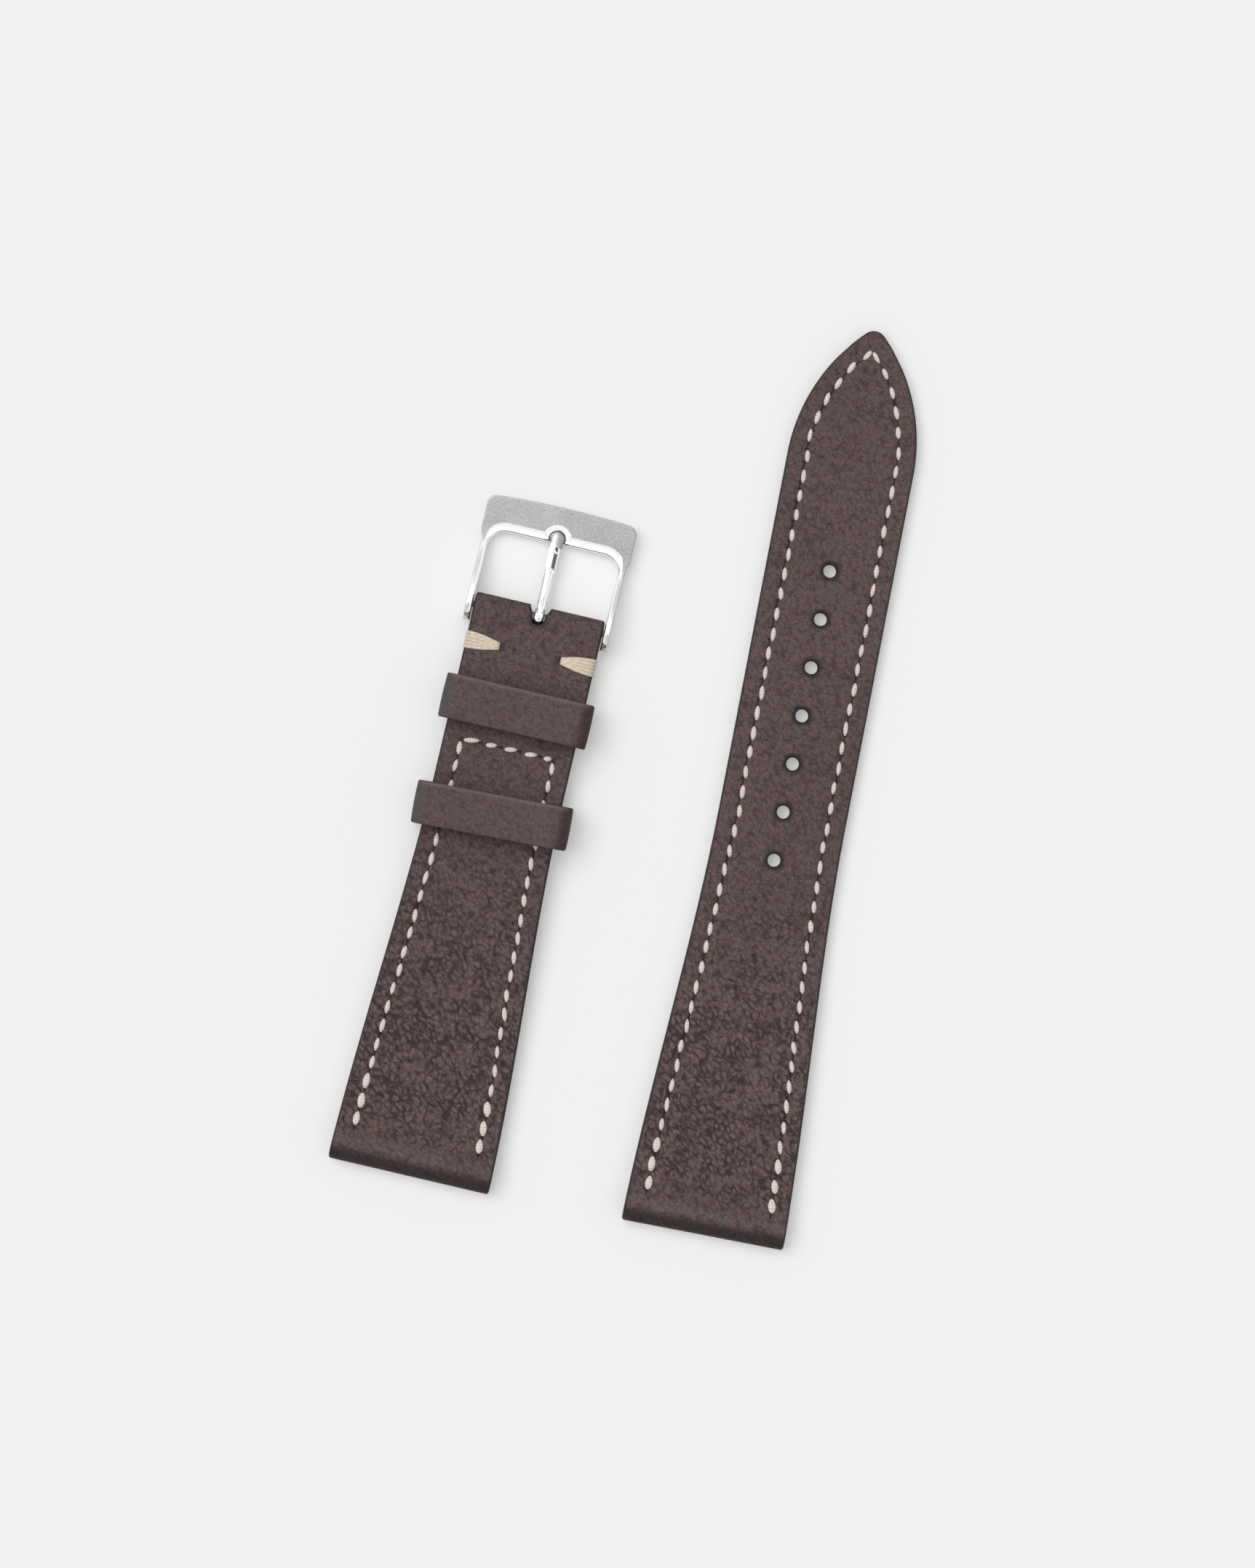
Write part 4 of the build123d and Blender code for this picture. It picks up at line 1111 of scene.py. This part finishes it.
# The inner and outer outline of the left half, with as many points, and then its mirror image.
ear_y = bar_y - ear * np.cos(np.radians(np.linspace(0, 88, 16)))
straight = np.concatenate([ear_y, np.linspace(bar_y, window_y, 34)])
plate_x = np.concatenate([np.linspace(window_x, -2.3, 14)[1:], np.linspace(-2.3, 0, 30)[1:]])
inside = [
    np.stack([straight * 0 - arm_inside, straight], 1),
    arc((window_x, window_y), window_corner, 180, 90, 30)[1:],
    np.stack([plate_x, plate_x * 0 + plate_back], 1),
]
side_y = np.linspace(window_y, corner_y, 20)
side_out = np.stack([-eased(arm_outside, plate_half, (side_y - 75.4) / 1.6), side_y], 1)
corner_out = arc((-corner_x, corner_y), front_corner, 180, 90, 12)
front_out = front_line(np.linspace(-corner_x, window_x, 8))
outside = [
    np.stack([straight * 0 - arm_outside, straight], 1),
    along(np.concatenate([side_out, corner_out[1:], front_out[1:]]), 30)[1:],
    front_line(plate_x),
]
inside, outside = np.concatenate(inside), np.concatenate(outside)
inside, outside = (np.concatenate([line, (line * (-1, 1))[-2::-1]]) for line in (inside, outside))

# The frame's top, from the window outwards: a bevel, a flat and a rounded edge. The bevel is
# wide at the plate, and round where the seat for the tongue is sunk in.
from_end = np.arange(len(inside))
from_arm = np.minimum(from_end, from_end[::-1])[:, None] - len(straight)
into_plate = eased(0, 1, (from_arm + 6) / 22)
depth = np.linalg.norm(outside - inside, axis=1)[:, None]
lean = ((outside - inside) / depth)[:, None]
inside_x, inside_y = inside[:, :1], inside[:, 1:]
thickness = frame_side(inside_y, 1, plate_top) - frame_side(inside_y, -1, table)
fat = np.clip(thickness / 1.5, 0, 1)
window_bevel = 0.30 + 0.80 * into_plate
round_seat = seat_y - plate_back + np.sqrt(np.maximum(seat_radius**2 - inside_x**2, 0))
bevel = np.maximum(window_bevel, np.where(inside_y > plate_back - 0.01, round_seat, 0))
drop, round_over = (0.16 + 0.42 * into_plate) * fat, 0.13 * fat
share = np.concatenate(
    [[0, 0.06], np.linspace(0.14, 1, 15), [1.004], 1 + np.linspace(0.06, 1, 24) ** 1.3]
)
reach = np.where(share <= 1, share * bevel, bevel + (share - 1) * (depth - round_over - bevel))
ramp = 1 - np.clip(reach / window_bevel, 0, 1)
lip_fall = 0.15 * fat * (1 - np.clip(reach / 0.15, 0, 1))
rounding = np.radians(np.linspace(0, 90, 6))[1:]
fall = np.concatenate([drop * ramp**1.2 + lip_fall, round_over * (1 - np.cos(rounding))], 1)
reach = np.concatenate([reach, depth - round_over * (1 - np.sin(rounding))], 1)
plan = inside[:, None] + lean * reach[..., None]
upper_z = frame_side(plan[..., 1], 1, plate_top) - fall
from_seat = np.hypot(plan[..., 0], plan[..., 1] - seat_y)
seat_fall = 0.36 * np.clip((seat_radius - from_seat) / 0.75, 0, 1)
seat_fall = seat_fall + eased(0, 0.49, (1.02 - from_seat) / 0.22)
seat_z = np.where(from_seat < seat_radius, plate_top - seat_fall, np.inf)
upper = np.concatenate([plan, np.minimum(upper_z, seat_z)[..., None]], -1)

# Its underside is level from edge to edge, with both edges rounded over.
flat = round_over * 0
under_reach = np.concatenate([depth, depth - round_over, depth * 0.5, round_over, flat], 1)
under_lift = np.concatenate([round_over, flat, flat, flat, round_over], 1)
under_plan = inside[:, None] + lean * under_reach[..., None]
under_z = frame_side(under_plan[..., 1], -1, table) + under_lift
points = np.concatenate([upper, np.concatenate([under_plan, under_z[..., None]], -1)], 1)
rows, columns = points.shape[:2]
polish = np.full((rows, columns), 0.35)
polish[:, : len(share)] = share <= 1
polish = np.maximum(polish, 0.55 * (1 - eased(0, 1, (from_arm + 4) / 8)))
faces = [grid_faces(rows, columns, closed_columns=True), *end_faces(rows, columns)]
make_piece(
    "buckle_frame_steel", points, faces, buckle_steel, "buckle",
    ["buckle_frame"], smooth=28, marks={"polish": polish},
)

# Tongue: a forged steel pin, ground flat in the middle, with a rounded spoon at its tip and an
# eye bent round the spring bar's barrel; it rests in the frame's seat.
root_reach, tip_radius, shank_half, eye_outer, pin_sides = 0.6, 0.9, 0.475, 1.15, 28
half_widths = (
    (bar_y, 0.55), (69.0, 0.59), (73.6, 0.64), (75.6, 0.71), (77.3, 0.885), (seat_y, tip_radius)
)
root = bar_y - root_reach * np.cos(np.radians(np.linspace(3, 90, 14)))
tip = seat_y + tip_radius * np.sin(np.radians(np.linspace(0, 90, 16)))[1:]
y = np.concatenate([root, np.linspace(bar_y + 0.06, seat_y, 150), tip])[:, None]
behind = y < bar_y
round_root = np.sqrt(np.clip(1 - ((bar_y - y) / root_reach) ** 2, 0, 1))
round_tip = np.sqrt(np.maximum(tip_radius**2 - (y - seat_y) ** 2, 0))
half = np.where(y > seat_y, round_tip, np.interp(y, *zip(*half_widths)))
half = np.where(behind, half_widths[0][1] * round_root, half)
shank = eased(bar_z, 0.175, (y - 68.575) / 7.075)
over_bar = bar_z + np.sqrt(np.maximum(eye_outer**2 - (y - bar_y) ** 2, 0))
swell = 0.16 * eased(0, 1, (y - 69.1) / 1.2) * eased(1, 0, (y - 70.3) / 3.4)
hump = (eye_outer - shank_half) * eased(1, 0, (y - bar_y) / 1.7)
top = np.where(behind, over_bar, shank + shank_half + hump + swell)
bore = bar_z + np.sqrt(np.maximum(bar_bore**2 - (y - bar_y) ** 2, 0))
foot = eased(bar_z, shank - shank_half, (y - bar_y - bar_bore) / 0.7)
foot = np.where(y < bar_y + bar_bore, bore, foot)
thick = (top - foot) / 2 * np.where(behind, round_root**0.5, 1)
thick = thick * (1 - 0.35 * np.clip((y - seat_y) / tip_radius, 0, 1) ** 2)
square = 2.1 + 2.2 * eased(0, 1, (y - 73.0) / 1.0) * eased(1, 0, (y - 76.2) / 0.8)


def rounded(wave, power):
    """A cosine or sine made squarer or rounder, with its sign kept."""
    return np.sign(wave) * np.abs(wave) ** power


# The section is a superellipse, and a slanting facet with crisp ends is ground off its top.
ring = np.linspace(0, 2 * math.pi, pin_sides, endpoint=False)
x = half * rounded(np.cos(ring), 2 / square)
z = (top + foot) / 2 + thick * rounded(np.sin(ring), 2 / square)
level = y + 0.45 * x
ground = np.interp(level, (73.5, 73.75, 75.95, 76.15), (3.0, 0.60, 0.585, 3.0))
pin = np.stack([x, y + 0 * x, np.minimum(z, ground - 0.14 * np.abs(x) ** 3)], -1)
polish = 1 - 0.85 * eased(0, 1, (level - 76.6) / 0.2)
round_bar = np.linspace(0, 2 * math.pi, 48, endpoint=False)[:, None]
eye_ring = np.linspace(0, 2 * math.pi, 14, endpoint=False)
eye_half = 0.54 - 0.20 * np.clip(-np.cos(round_bar), 0, 1)
eye_x = eye_half * rounded(np.cos(eye_ring), 0.7)
eye_r = 0.95 + 0.15 * rounded(np.sin(eye_ring), 0.7)
eye = np.stack([eye_x, bar_y + eye_r * np.cos(round_bar), bar_z + eye_r * np.sin(round_bar)], -1)
faces = [
    grid_faces(len(y), pin_sides, closed_columns=True),
    end_faces(len(y), pin_sides)[0],
    grid_faces(*eye.shape[:2], True, True) + x.size,
]
make_piece(
    "buckle_tongue_steel", np.concatenate([pin.reshape(-1, 3), eye.reshape(-1, 3)]), faces,
    buckle_steel, "tongue", ["buckle_tongue"], smooth=40,
    marks={"polish": np.append(polish, np.ones(eye_x.size))},
)

# Spring bar: a turned barrel crimped over two stepped plungers, with a coil of wire between.
# Barrel and plungers are machined pieces whose shape is right as it is, in turned steel
# that is painted dark as painted shade, since the bar lies in shade inside the fold.
bar_steel = steel("bar_steel", False)
for node in ("spring_bar_barrel", "spring_bar_plunger_left", "spring_bar_plunger_right"):
    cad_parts[node].data.materials.clear()
    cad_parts[node].data.materials.append(bar_steel)


def coil(name, side):
    """Half of the spring: a wire at (r cos a, r sin a) round the bar, a growing along x."""
    reach, pitch, coil_radius, wire, sides = 3.93, 1.1, 0.38, 0.07, 6
    turns = reach / pitch
    a = np.linspace(0, 2 * math.pi * turns, int(turns * 20))
    out = np.stack([0 * a, np.cos(a), np.sin(side * a)], 1)
    run = side * pitch * a / (2 * math.pi)
    line = coil_radius * out + np.stack([run, 0 * a + bar_y, 0 * a + bar_z], 1)
    ring = np.linspace(0, 2 * math.pi, sides, endpoint=False)[None, :, None]
    round_wire = np.cos(ring) * out[:, None] + np.sin(ring) * np.array([1.0, 0, 0])
    faces = [grid_faces(len(a), sides, closed_columns=True), *end_faces(len(a), sides)]
    half = make_piece(
        name, line[:, None] + wire * round_wire, faces, bar_steel, "strap",
        ["spring_bar_spring"],
    )
    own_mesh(half)


coil("spring_left_coil", -1)
coil("spring_right_coil", 1)
